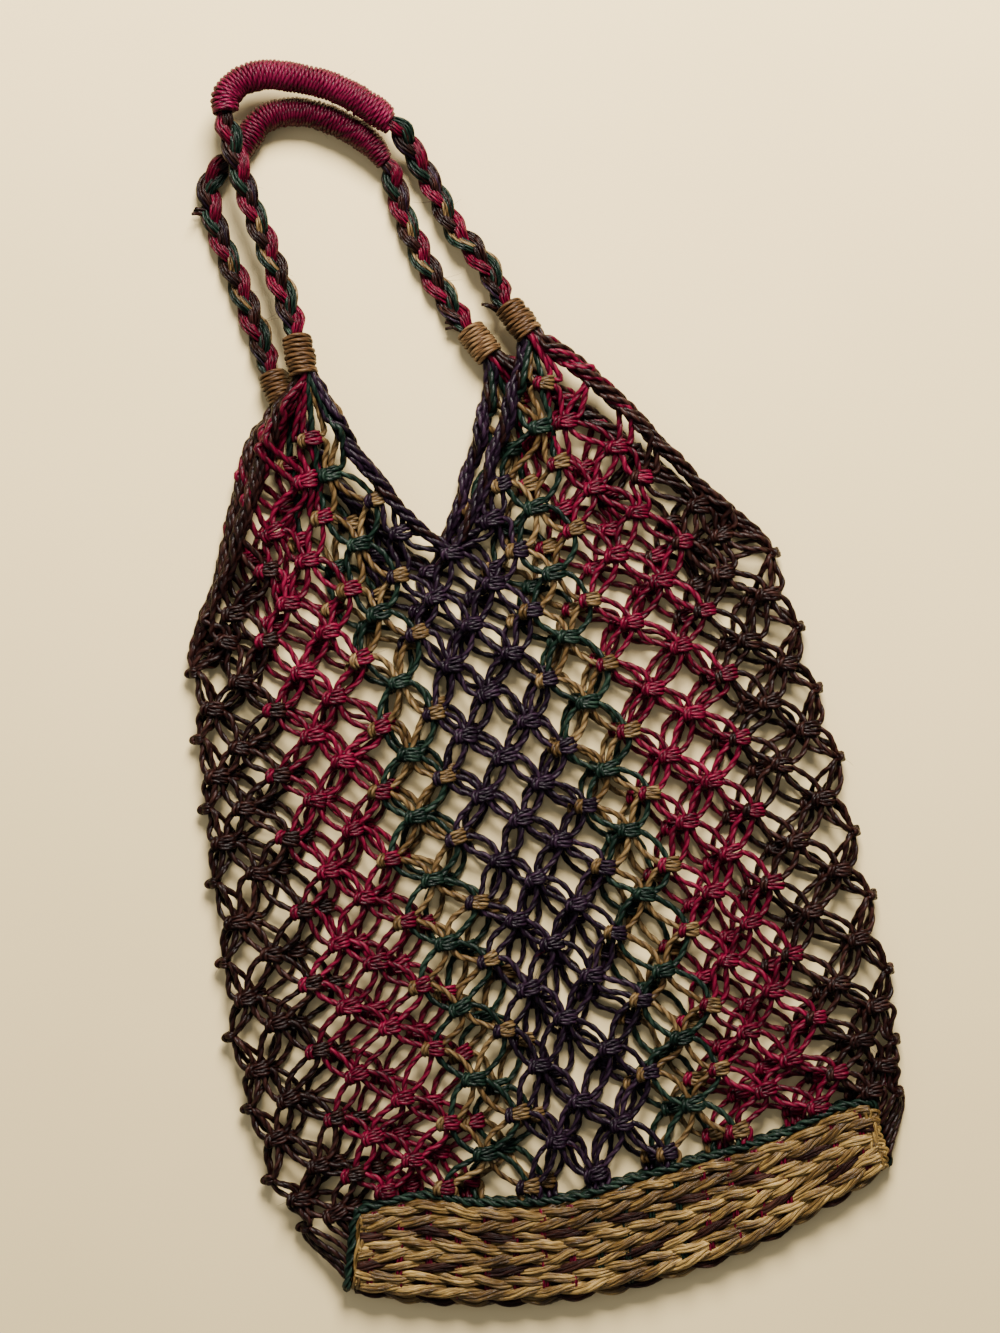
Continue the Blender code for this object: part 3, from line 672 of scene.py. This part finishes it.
bindings = {
    # x, y, z of the middle, direction from peak to braid, length
    "front_binding_left": (-54.8, 170.65, 17.5, 0.03, 1.0, 19.0),
    "front_binding_right": (55.1, 164.05, 13.1, -0.42, 0.91, 18.0),
    "back_binding_left": (-69.6, 157.95, 7.6, -0.19, 0.98, 17.0),
    "back_binding_right": (33.6, 157.85, 7.6, -0.44, 0.90, 17.0),
}
# Middle lines of the four edge bundles of the front peaks
edgeRoutes = {
    ("left", "outer"): ((-60, 157), (-68, 148), (-76, 138), (-84, 125), (-92, 112), (-100, 99), (-108, 85),
                        (-117, 71), (-127, 58), (-136, 46), (-142, 36), (-143, 28)),
    ("left", "inner"): ((-50, 157), (-46, 139), (-41, 123), (-33, 107), (-26, 92), (-17, 78), (-8, 66),
                        (-2, 60)),
    ("right", "inner"): ((55, 152), (49, 136), (41, 121), (32, 107), (23, 92), (14, 79), (6, 68), (-1, 60)),
    ("right", "outer"): ((60, 155), (66, 149), (76, 138), (87, 124), (99, 106), (111, 87), (123, 67),
                         (136, 50), (149, 33), (153, 23)),
}
peak = {
    "top": 140.0,  # above this y an edge moves whole with its binding
    "fan": 10.0,  # width of the row of cords where they leave the binding
    "depth": 3.6,  # and how far they lie over and under its middle
    "bundle": 3.9,  # an edge bundle's radius at the binding
    "thinning": 0.55,  # share of it that is gone at the fold or the V
    "bundleTurn": 34.0,
    "cordEvenness": (1.0, 1.12),
    "step": 1.7,  # between a cord's stations
    "ropeTurn": 26.0,
    "ropeCord": 1.08,
}
peakTops = {"left": (6, 0), "right": (14, 5)}    # half column of the first knot, and the peak's first column


def edgeRoute(layer, side, edge):
    # An edge's middle line on this layer: moved whole at the binding, and less towards the fold or the V
    first = peakTops[side][0]
    route = np.array(edgeRoutes[(side, edge)], dtype=float)
    top = layers[layer][3, first, :2] - layers["front"][3, first, :2]
    fold = sideKnots[(0 if side == "left" else 2 * columns, 7)][0]
    end = (fold if edge == "outer" else layers[layer][5, 10])[:2]
    share = np.clip((peak["top"] - route[:, 1:]) / (peak["top"] - route[-1, 1]), 0.0, 1.0)
    return route + top * (1 - share) + (end - route[-1]) * share


def bindingEnd(name, atBraid=False):
    # The middle of a binding's end at the peak or at the braid, and its direction from peak to braid
    x, y, z, aimX, aimY, length = bindings[name]
    aim = unit(np.array((aimX, aimY, 0.0)))
    return np.array((x, y, z)) + aim * length / 2 * (1 if atBraid else -1), aim


def bundlePoints(route, endY, start, endZ, eighth):
    # A cord's way down an edge bundle: it turns about the bundle's middle line, which thins as it goes;
    # neighbouring cords are turned by 2.4 radians, every other one nearer the middle
    line = np.column_stack([route, np.zeros(len(route))])
    line = smoothPath(line, int(pathLength(line) / 5.0))
    share = np.linspace(0.0, 1.0, len(line))
    line[:, 2] = start[2] + (endZ - start[2]) * np.clip(share * 1.4, 0.0, 1.0)
    side, up = axesAlong(line)
    spin = eighth * 1.2 + 2 * np.pi * share * pathLength(line) / peak["bundleTurn"]
    thick = peak["bundle"] * (1 - peak["thinning"] * share) * (1.0 if eighth % 4 == 1 else 0.62)
    line = shifted(line, side, thick * np.cos(spin), up, 0.8 * thick * np.sin(spin))
    return line[line[:, 1] > endY]


def firstKnot(knots, first, position):
    # The topmost knot on the edge of this peak that takes the cord at this position
    for row in range(1, 8):
        for half in (first - (row - 1), first + (row - 1)):
            if (half, row) in knots and abs(half / 2 - position) < 0.5:
                return half, row
    return None


def addPeak(layer, side):
    # Cords of a peak, from its left to its right edge, run from the binding to their first knot
    foot, aim = bindingEnd(layer + "_binding_" + side)
    across = np.array((aim[1], -aim[0], 0.0))
    first, low = peakTops[side]
    knots = {**knotSets[layer], **sideKnots}
    for eighth in range(low * 8 + 1, low * 8 + 40, 2):
        position = eighth / 8
        key = firstKnot(knots, first, position)
        if key is None:
            continue
        half, row = key
        end, endAim = portAt(knots[key], int(round((position - half / 2) * 8)), entries)
        start = foot + across * ((position - low) / 5 - 0.5) * peak["fan"]
        start = start + np.array((0, 0, rng.uniform(-peak["depth"], peak["depth"])))
        edge = "inner" if (half > first) == (side == "left") else "outer"
        points = [start + aim * 2.0 + rng.normal(0, 0.4, 3), start - aim * 3.0]
        if row > 1:
            leave = end[1] + (15.0 if row < 5 else 9.0)
            points.extend(bundlePoints(edgeRoute(layer, side, edge)[1:], leave, start, end[2] + 1.5, eighth))
        points.append(end - endAim * 4.0)
        points.append(end + rng.normal(0, 0.3, 3))
        points = np.array(points)
        points[:, 2] = np.maximum(points[:, 2], 1.6)    # a cord's middle stays above the floor
        path = smoothPath(points, max(8, int(pathLength(points) / peak["step"])))
        addCords(layer, cordColour(position), path, rng.uniform(*peak["cordEvenness"]))


def addEdgeRope(layer, side, edge):
    # Cords that keep to a peak's edge all the way down, turned about its middle line
    foot, aim = bindingEnd(layer + "_binding_" + side)
    route = edgeRoute(layer, side, edge)
    lowest = net["sideHeight"] if edge == "outer" else layers[layer][5, 10, 2]
    line = np.column_stack([route, np.interp(route[:, 1], (40.0, 150.0), (lowest, foot[2]))])
    line[:, 2] = np.maximum(line[:, 2], 3.4)    # the rope's middle stays above the floor
    line = smoothPath(np.vstack([foot + aim * 2.0, line]), int(pathLength(line) / peak["step"]))
    travel = np.linspace(0.0, pathLength(line), len(line))
    beside, up = axesAlong(line)
    out = np.interp(travel / travel[-1], (0.0, 0.15, 0.8, 0.95, 1.0), (1.4, 2.2, 1.7, 1.1, 0.3))
    colours = ("darkBrown",) * 3 if edge == "outer" else ("purple", "darkBrown", "purple")
    for cord, colour in enumerate(colours):
        spin = 2 * np.pi * (travel / peak["ropeTurn"] + cord / 3)
        place = shifted(line, beside, out * np.cos(spin), up, out * 0.85 * np.sin(spin))
        addCords(layer, colour, place, peak["ropeCord"])


for layer in ("front", "back"):
    for side in ("left", "right"):
        addPeak(layer, side)
        for edge in ("outer", "inner"):
            addEdgeRope(layer, side, edge)

for layer in ("back", "front"):
    makeColoured(layer + "Net", ["net_body"])


# The twined base, folded lengthwise

# The rows from the upper edge down: s and z are straw rows of the two twists. The narrower d and e,
# and m, which lies on the fold, have one straw ply and one dark ply
baseRows = "szdszeszm"


def foldLine(share):
    # y of the fold, which bows down by a parabola
    return base["leftFold"][1] - base["foldSag"] * (1 - (2 * share - 1) ** 2)


def baseDepth(share):
    # Distance from the upper edge to the middle of the fold, along the panel's skin
    return upperEdge(share) - foldLine(share) - base["height"] / 2 + np.pi * base["height"] / 4


def basePlace(share, distance, lower=False):
    # A point of the panel's skin: down from the upper edge, round the fold, at its share of the length
    topX = base["leftTop"][0] + (base["rightTop"][0] - base["leftTop"][0]) * share
    foldX = base["leftFold"][0] + (base["rightFold"][0] - base["leftFold"][0]) * share
    topY, foldY = upperEdge(share), foldLine(share)
    radius = base["height"] / 2
    straight = topY - foldY - radius
    angle = np.clip((distance - straight) / radius, 0.0, np.pi / 2)
    y = np.where(distance < straight, topY - distance, foldY + radius - radius * np.sin(angle))
    z = np.where(distance < straight, radius * 2, radius + radius * np.cos(angle))
    x = topX + (foldX - topX) / (foldY - topY) * (y - topY)
    return np.stack([x, y, base["height"] - z if lower else z], axis=-1)


def addPly(piece, line, side, outward, turn, width, lift, thick, strips):
    # A ply is flat strips side by side that roll over one another as it goes
    middle = shifted(line, side, width * np.sin(turn), outward, lift * np.cos(turn) - 0.7)
    roll = rng.uniform(0, 2 * np.pi) + np.cumsum(rng.normal(0.12, 0.06, len(line)))
    apart = 0.0 if strips == 1 else 1.0
    for strip in range(strips):
        angle = roll + 2 * np.pi * strip / strips
        place = shifted(middle, side, apart * 0.68 * thick * np.cos(angle),
                        outward, apart * 0.34 * thick * np.sin(angle))
        radius = thick * (0.95 if strips == 1 else 0.44) * (1 + 0.16 * np.sin(turn * 2 + strip * 2.0))
        addStrands(piece, place + rng.normal(0.0, 0.05, place.shape), radius[None], sides=6, flatten=0.72)


rowWeights = np.array([base["narrow"] if kind in "de" else 1.0 for kind in baseRows])
rowShares = (np.cumsum(rowWeights) - rowWeights / 2) / (rowWeights.sum() - 0.25)


def addBaseRow(index, kind, lower):
    # Two plies turn about each other along the row: sideways by sin, upwards by cos of the travel
    share = np.linspace(0.006, 0.994, 90 if lower else base["stations"])
    line = basePlace(share, baseDepth(share) * rowShares[index], lower)
    line[:, 1] += np.interp(share, np.linspace(0, 1, 24), rng.normal(0.0, 0.45, 24))
    outward = (0.0, -0.8, 0.5) if kind == "m" else (0.0, 0.0, 1.0)
    outward = np.tile(unit(np.array(outward) * (1, 1, -1 if lower else 1)), (len(line), 1))
    hand = -1.0 if kind in "ze" else 1.0
    narrow = kind in "de"
    start = rng.uniform(0, 2 * np.pi)
    thick = rng.uniform(2.1, 2.35)
    stitch = base["stitch"] * rng.uniform(0.95, 1.05)
    for ply in range(2):
        turn = start + np.pi * ply + hand * np.pi * travelAlong(line) / stitch
        dark = kind in "dem" and ply == 1
        addPly("baseDarkRows" if dark else "baseStrawRows", line, axesAlong(line)[0], outward, turn,
               1.0 if narrow else 1.25, 1.3 if narrow else 1.7,
               thick * (0.78 if narrow and not dark else 1.0), 1 if lower else 5)


def addEndPlies(at, beyond):
    # Straw that turns back round the outermost warp at a short end
    part = np.linspace(0.03, 0.97, 40)
    line = basePlace(np.full_like(part, at), baseDepth(at) * part)
    line[:, 0] += beyond
    outward = np.tile(flatUp, (len(line), 1))
    for ply in range(2):
        turn = np.pi * ply + np.pi * travelAlong(line) / 16.0
        addPly("baseStrawRows", line, axesAlong(line)[0], outward, turn, 1.0, 1.4, 2.0, 3)


addEndPlies(0.012, -1.2)
addEndPlies(0.985, 1.2)


def addEndLoops():
    # At the right end each row turns over the edging cord into the next one, by half an ellipse
    t = np.linspace(0.0, np.pi, 22)
    for index in range(len(baseRows) - 1):
        above, below = (baseDepth(0.99) * rowShares[index + step] for step in (0, 1))
        for ply in range(2):
            reach = rng.uniform(5.0, 6.6) - 1.6 * ply
            depth = (above + below) / 2 - (below - above) * 0.62 * np.cos(t)
            place = basePlace(np.full_like(t, 0.985), depth)
            place[:, 0] += (reach + 1.5) * np.sin(t) - 1.5
            place[:, 2] += 0.8 * ply - 1.4 * np.sin(t) ** 2
            addPly("baseStrawRows", place, axesAlong(place)[0], np.tile(flatUp, (len(t), 1)),
                   t * 0.8 + ply, 0.4, 0.4, 1.7, 3)


addEndLoops()
for index, kind in enumerate(baseRows):
    addBaseRow(index, kind, False)
    addBaseRow(index, kind, True)


def addWarps():
    # Upright cords under the rows: their colour shows in the gaps between them
    part = np.linspace(0.01, 1.0, 26)
    for share in np.linspace(0.03, 0.97, 19):
        colour = "baseWarpGreen" if 0.40 < share < 0.62 else "baseWarpCrimson"
        for lower in (False, True):
            line = basePlace(np.full_like(part, share), baseDepth(share) * part, lower)
            line[:, 2] += 0.5 if lower else -0.5
            for offset in (-0.9, 0.9):
                addStrands(colour, line + np.array((offset, 0, 0)), 0.95, sides=6)


addWarps()


def basePanelSkin():
    # Section of the folded dark core sheet, painted shade inside the fold, at each station, as a closed ring:
    # outer skin, then inner skin back again
    share = np.linspace(0.0, 1.0, 40)[:, None]
    depth = baseDepth(share) * np.linspace(0.04, 1.0, 14)[None, :]
    under, thick = base["sheet"]
    upper, lower = basePlace(share, depth), basePlace(share, depth, True)
    fold = upper[:, -1:, 1]
    upper[..., 2] -= under
    lower[..., 2] += under
    innerUpper, innerLower = upper.copy(), lower.copy()
    innerUpper[..., 2] = np.maximum(innerUpper[..., 2] - thick, base["height"] / 2)
    innerLower[..., 2] = np.minimum(innerLower[..., 2] + thick, base["height"] / 2)
    for skin, shy in ((innerUpper, 2.8), (innerLower, 2.8), (upper, 0.8), (lower, 0.8)):
        skin[..., 1] = np.maximum(skin[..., 1], fold + shy)
    return np.concatenate([upper, lower[:, ::-1][:, 1:], innerLower, innerUpper[:, ::-1][:, 1:]], axis=1)


# The dark core stands in for the shade inside the folded base, seen through the gaps between the rows
ring = basePanelSkin()
strandStore.setdefault("baseCore", []).append(
    (ring[None], np.arange(ring.shape[0])[None] * 7.0, np.zeros(ring.shape[0] * ring.shape[1])))

baseCore = makePiece("baseCore", ["base_panel"], materials["darkStraw"])
basePieces = {"baseStrawRows": "straw", "baseDarkRows": "darkStraw", "baseWarpCrimson": "crimson",
              "baseWarpGreen": "green"}
woven = [makePiece(name, ["base_panel"], materials[finish])
         for name, finish in basePieces.items()]


# Edging cord: two green yarns turned about each other, all the way round the folded panel

edging = {
    "radius": 2.05,
    "gap": 0.55,  # from the panel
    "upper": 10.9,  # height along the upper edge
    "underLoops": 7.4,  # highest place at the right end, where the rows turn over it
    "yarn": 1.25,
    "swing": (1.15, 1.0),  # of a yarn about the cord's middle, sideways and upwards
    "turn": 15.0,
}


def edgingRoute():
    # Along the upper edge, down and round the right end, back along the lower edge and up the left end
    reach = edging["radius"] + edging["gap"]
    share = np.linspace(0.0, 1.0, 40)
    upper = basePlace(share, np.zeros_like(share))
    upper = upper + np.array((0.0, reach, edging["upper"] - base["height"]))
    lower = upper[::-1] * np.array((1, 1, 0)) + np.array((0, 0, edging["radius"]))

    def roundEnd(at, outward):
        depth = np.linspace(0.12, 1.0, 9) * baseDepth(at)
        down = basePlace(np.full_like(depth, at), depth)
        route = np.vstack([down, basePlace(np.full_like(depth, at), depth, True)[::-1][1:]])
        route[:, 0] += outward * reach
        highest = edging["upper"] if outward < 0 else edging["underLoops"]
        route[:, 2] = np.clip(route[:, 2], edging["radius"], highest)
        return route

    right = roundEnd(1.0, 1.0)
    left = roundEnd(0.0, -1.0)[::-1]
    return np.vstack([upper, right, lower, left, upper[:1]])


route = smoothPath(edgingRoute(), 420)
travel = np.linspace(0.0, pathLength(route), len(route))
side, up = axesAlong(route)
for strand in range(2):
    turn = 2 * np.pi * travel / edging["turn"] + np.pi * strand
    turned = shifted(route, side, edging["swing"][0] * np.sin(turn), up, edging["swing"][1] * np.cos(turn))
    addStrands("baseEdging", turned + rng.normal(0, 0.1, turned.shape), edging["yarn"], sides=7)
makePiece("baseEdging", ["base_edging"], materials["green"])


# Handles: three-bundle braids, wrapped grips and tan bindings

braids = {
    "front_braid_left": ((-55.2, 199.95, 16.4), (-58.8, 226.45, 15.4), (-62.0, 252.85, 17.2),
                         (-63.4, 276.35, 20.4)),
    "front_braid_right": ((48.0, 187.85, 11.0), (42.0, 202.05, 9.0), (34.2, 215.85, 7.6), (30.6, 232.45, 7.0),
                          (26.6, 246.35, 8.0), (22.2, 260.35, 10.8)),
    "back_braid_left": ((-72.4, 182.55, 5.2), (-74.9, 196.45, 4.6), (-77.3, 212.65, 4.6),
                        (-79.4, 227.45, 4.6), (-81.4, 242.55, 4.6), (-81.9, 254.35, 4.6),
                        (-79.9, 266.35, 5.0)),
    "back_braid_right": ((24.8, 177.35, 5.2), (20.1, 190.25, 4.6), (16.3, 201.75, 4.6), (13.4, 215.25, 4.6),
                         (11.2, 229.15, 4.6), (10.6, 242.15, 5.2)),
}
grips = {
    "front_grip": ((-63.4, 296.55, 19.4), (-61.2, 304.15, 18.8), (-53.5, 309.55, 17.8), (-41.4, 310.65, 17.0),
                   (-29.0, 306.95, 16.6), (-13.7, 299.95, 16.4), (-3.5, 292.95, 16.4), (6.2, 283.95, 16.0),
                   (15.1, 274.25, 15.0)),
    "back_grip": ((-63.9, 277.65, 7.0), (-57.2, 282.35, 7.2), (-49.2, 289.55, 7.4), (-38.9, 292.15, 7.4),
                  (-26.4, 289.95, 7.4), (-14.6, 283.75, 7.4), (-3.8, 274.95, 7.4), (3.4, 266.75, 7.4),
                  (8.2, 256.45, 7.0)),
}
grip = {
    "radius": {"front_grip": 7.3, "back_grip": 7.0},
    # places along the grip, and the share of its radius there
    "shape": {"front_grip": ((0.0, 0.03, 0.07, 0.93, 0.97, 1.0), (0.86, 0.95, 1.0, 1.0, 0.92, 0.80)),
              "back_grip": ((0.0, 0.05, 0.80, 0.92, 1.0), (0.9, 1.0, 1.0, 0.86, 0.62))},
    "pitch": 1.78,
    "yarn": 1.08,
    "slant": 0.16,
}
binding = {"radius": 7.4, "swell": 0.3, "turns": 8.6, "yarn": 1.12}
braid = {
    "swing": 3.0,  # of a bundle, sideways
    "lift": 1.8,  # and upwards
    "repeat": 42.0,  # length in which each bundle comes back to its side
    "roll": 85.0,  # length in which a bundle turns over once
    "yarn": 0.82,
    "lead": 4.5,
    "taper": 9.0,  # length over which the bundles part at each end
}
# Yarns of a bundle: across and up from the bundle's middle
bundleYarns = ((-2.6, 0.0), (-1.3, 0.5), (0.0, 0.7), (1.3, 0.5), (2.6, 0.0), (-1.9, -1.1), (-0.6, -0.9),
               (0.7, -0.9), (1.9, -1.1), (-1.8, 1.5), (-0.6, 1.9), (0.6, 1.9), (1.8, 1.5))
bundleColours = (("crimson",) * 13, ("darkBrown",) * 12 + ("purple",),
                 ("green", "green", "darkBrown", "green", "green", "green", "green", "darkBrown", "green",
                  "tan", "tan", "green", "darkBrown"))


def braidRoute(name):
    # From inside the binding, through the braid's own points, into the end of the grip
    start, aim = bindingEnd(name.replace("braid", "binding"), atBraid=True)
    held = np.array(grips[name.split("_")[0] + "_grip"])
    if name.endswith("right"):
        held = held[::-1]
    out = unit(held[0] - held[1])
    return np.vstack([start - aim * 2.0, start + aim * braid["lead"], np.array(braids[name]),
                      held[0] + out * braid["lead"], held[0] - out * 2.0])


def addBraid(name):
    # Bundle b swings sideways by sin(t + b/3) and up by sin(2(t + b/3)), its yarns keep their places in it
    raw = braidRoute(name)
    line = smoothPath(raw, int(pathLength(raw) / 1.9))
    side, up = axesAlong(line)
    travel = np.linspace(0.0, pathLength(line), len(line))
    ends = np.clip(np.minimum(travel, travel[-1] - travel) / braid["taper"], 0.25, 1.0)
    for bundle in range(3):
        turn = 2 * np.pi * (travel / braid["repeat"] + bundle / 3)
        middle = shifted(line, side, braid["swing"] * np.sin(turn) * ends,
                         up, braid["lift"] * np.sin(2 * turn) * ends)
        slant = np.cos(turn) * 0.5
        roll = 2 * np.pi * travel / braid["roll"] + bundle
        for yarn, (a, b) in enumerate(bundleYarns):
            wide = 1.05 * (a * np.cos(roll) - 1.3 * b * np.sin(roll)) * np.cos(slant)
            tall = 0.75 * (0.75 * a * np.sin(roll) + b * np.cos(roll))
            spin = 0.35 * np.sin(turn * 0.7 + yarn * 1.7)
            place = shifted(middle, side, (wide + spin) * (0.65 + 0.35 * ends), up, tall * (0.8 + 0.2 * ends))
            place[:, 2] = np.maximum(place[:, 2], 1.05)
            piece = withColour(camelName(name), bundleColours[bundle][yarn])
            addStrands(piece, place, braid["yarn"], sides=6)


for name in braids:
    addBraid(name)
    makeColoured(camelName(name), [name])


yarnInset = 1.05    # the middle of a wound yarn lies this far inside the radius given


def wrapping(line, radii, pitch, perTurn, slant=0.0):
    # Helix round a line: line + r (cos(w) side + sin(w) up), w turning once for each pitch travelled;
    # each turn stands out by its own random amount, and its yarn drifts along the line by sin
    length = pathLength(line)
    share = np.linspace(0.0, 1.0, int(length / pitch * perTurn))
    at = np.linspace(0.0, 1.0, len(line))
    centre = readAt(share, at, line)
    side, up = (unit(readAt(share, at, axis)) for axis in axesAlong(line))
    turns = share * length / pitch + np.sin(share * length / 6.0) * 0.3
    angle = 2 * np.pi * turns
    drift = 0.35 * pitch * np.sin(angle + 0.8 * np.sin(share * 40))
    drift = drift + slant * np.interp(share, at, radii) * np.cos(angle)
    ridge = rng.normal(0.0, 0.22, int(turns[-1]) + 3)
    reach = np.interp(share, at, radii) - yarnInset + np.interp(turns, np.arange(len(ridge)), ridge)
    helix = shifted(centre, side, reach * np.cos(angle), up, reach * np.sin(angle))
    return helix + np.cross(up, side) * drift[:, None]


def addGrip(name):
    # A round core and one yarn wound about it
    line = smoothPath(grips[name], 90)
    at = np.linspace(0.0, 1.0, len(line))
    radii = grip["radius"][name] * np.interp(at, *grip["shape"][name])
    piece = camelName(name)
    core = smoothPath(grips[name], 50)
    addStrands(piece, core, np.interp(np.linspace(0, 1, 50), at, radii) - 1.3, sides=16)
    helix = wrapping(line, radii + 0.35, grip["pitch"], 24, grip["slant"])
    addStrands(piece, helix, grip["yarn"], sides=6, reference=(0.02, 0.03, 1.0))
    makePiece(piece, [name], materials["grip"])


def addBinding(name):
    # A round core and one cord wound about it
    length = bindings[name][-1]
    low, aim = bindingEnd(name)
    line = np.linspace(low, low + aim * length, 30)
    radii = binding["radius"] + binding["swell"] * np.sin(np.linspace(0, np.pi, 30))
    piece = camelName(name)
    addStrands(piece, line, radii - 2.2, sides=16)
    helix = wrapping(line, radii, length / binding["turns"], 28)
    addStrands(piece, helix, binding["yarn"], sides=8, reference=(0.02, 0.03, 1.0))
    makePiece(piece, [name], materials["bindingTan"])


def addCutEnds():
    # A brush of cut yarns sticks out of the wrapping at the front grip's left end
    foot, tip = np.array((-60.5, 300.5, 18.8)), np.array((-66.2, 302.0, 19.6))
    aim = unit(tip - foot)
    side = unit(np.cross(aim, flatUp))
    for index in range(16):
        angle, out = index * 2.4, 0.62 * math.sqrt(index + 0.5)
        offset = side * (out * math.cos(angle) * 1.15) + flatUp * (out * math.sin(angle))
        line = np.linspace(foot + offset, tip + offset * 1.1 + aim * rng.uniform(-0.7, 0.7), 5)
        addStrands("gripCutEnds" + ("Tan" if index % 3 == 0 else "Brown"), line, 0.68, sides=6)
    makePiece("gripCutEndsTan", ["front_grip"], materials["tan"])
    makePiece("gripCutEndsBrown", ["front_grip"], materials["darkBrown"])


looseEnds = (
    # x, y, z, direction and number of the short cut cords at two bindings and a braid
    (26.0, 168.0, 7.0, -0.9, 0.45, 5), (45.5, 172.0, 12.0, -0.8, 0.6, 3), (-86.0, 252.0, 5.0, -0.95, 0.1, 3),
)


def addLooseEnds():
    # Each sticks out 5 to 8 mm, in a direction of its own near the given one
    for x, y, z, aimX, aimY, count in looseEnds:
        for _ in range(count):
            foot = np.array((x, y, z)) + rng.normal(0, 1.0, 3) * (1, 1, 0.5)
            aim = unit(np.array((aimX, aimY, 0.1)) + rng.normal(0, 0.25, 3))
            tip = foot + aim * rng.uniform(5.0, 8.0)
            line = np.linspace(foot - aim * 3.0, tip, 6) + rng.normal(0, 0.15, (6, 3))
            addStrands("cutCords", line, 0.85, sides=7)
    makePiece("cutCords", ["net_body"], materials["darkBrown"])


fibres = {"net": 90, "eachHandlePart": 5, "length": (7.0, 15.0), "radius": 0.11, "tip": 0.03, "bend": 0.6}


def addStrayFibres():
    # Single fibres that have worked loose: each leaves its cord and bends sideways by the square of t
    t = np.linspace(0.0, 1.0, 9)[:, None]
    feet = [knot[0] for knot in knotSets["front"].values()]
    lines = [smoothPath(points, 30) for points in (*braids.values(), *grips.values())]
    feet = [feet[pick] for pick in rng.integers(0, len(feet), fibres["net"])]
    feet += [line[rng.integers(2, 28)] for line in lines for _ in range(fibres["eachHandlePart"])]
    radius = fibres["radius"] * (1.1 - t[:, 0]) + fibres["tip"]
    for index, foot in enumerate(feet):
        turn = rng.uniform(0, 2 * np.pi)
        aim = np.array((math.cos(turn), math.sin(turn), rng.uniform(0.0, 0.35)))
        bend = np.array((-aim[1], aim[0], -0.2)) * rng.uniform(-fibres["bend"], fibres["bend"])
        place = foot + (0, 0, 1.5) + aim * t * rng.uniform(*fibres["length"]) + bend * t ** 2 * 8.0
        addStrands("strayFibres" + ("Red" if index % 3 == 0 else "Brown"), place, radius, sides=3)
    makePiece("strayFibresRed", ["net_body"], materials["crimson"])
    makePiece("strayFibresBrown", ["net_body"], materials["darkBrown"])


addCutEnds()
addLooseEnds()
addStrayFibres()
for name in grips:
    addGrip(name)
for name in bindings:
    addBinding(name)


# Floor, light and camera

stage = {
    "floorColour": (0.73, 0.568, 0.285),
    "cameraHeight": 1.50,  # lengths here are in metres
    "frameHeight": 0.6665,  # seen from the picture's top to its bottom
    "aim": (0.0073, -0.0026),
    "aimHeight": 0.009,
    "roll": -13.0,
    "worldColour": (0.91, 0.95, 1.0),
    "worldStrength": 0.330,
}
lights = {
    # name: place, size, power, colour
    "keyLight": ((0.36, 1.05, 0.92), 0.6, 95.0, (1.0, 0.945, 0.865)),
    "fillLight": ((-1.2, 0.2, 1.6), 1.6, 6.0, (0.98, 0.97, 0.98)),
}
floorMesh = bpy.data.meshes.new("floor")
floorMesh.from_pydata([(-3, -3, 0), (3, -3, 0), (3, 3, 0), (-3, 3, 0)], [], [(0, 1, 2, 3)])
floor = bpy.data.objects.new("floor", floorMesh)
bpy.context.scene.collection.objects.link(floor)
floorMaterial, tree, shader = newMaterial("floorFinish")
place = addNode(tree, "ShaderNodeTexCoord")
mottle = addNoise(tree, place.outputs["Object"], 6.0, 4.0)
pale = stage["floorColour"]
mottled = ramp(tree, mottle, ((0.3, tuple(0.95 * level for level in pale)), (0.7, pale)))
tree.links.new(mottled, shader.inputs["Base Color"])
shader.inputs["Roughness"].default_value = 0.75
floorMesh.materials.append(floorMaterial)

cameraData = bpy.data.cameras.new("camera")
cameraData.sensor_width = 36.0
cameraData.lens = cameraData.sensor_width * stage["cameraHeight"] / stage["frameHeight"]
camera = bpy.data.objects.new("camera", cameraData)
camera.location = (*stage["aim"], stage["cameraHeight"] + stage["aimHeight"])
camera.rotation_euler = (0.0, 0.0, math.radians(stage["roll"]))
bpy.context.scene.collection.objects.link(camera)
bpy.context.scene.camera = camera


def addLight(name, place, size, power, colour):
    # A square lamp that looks at the origin
    data = bpy.data.lights.new(name, "AREA")
    data.shape = "SQUARE"
    data.size = size
    data.energy = power
    data.color = colour
    light = bpy.data.objects.new(name, data)
    light.location = place
    x, y, z = place
    light.rotation_euler = (math.atan2(math.hypot(x, y), z), 0.0, math.atan2(-x, y) + math.pi)
    bpy.context.scene.collection.objects.link(light)


for name, numbers in lights.items():
    addLight(name, *numbers)
world = bpy.data.worlds.new("studio")
bpy.context.scene.world = world
world.use_nodes = True
background = world.node_tree.nodes["Background"]
background.inputs["Color"].default_value = (*stage["worldColour"], 1.0)
background.inputs["Strength"].default_value = stage["worldStrength"]
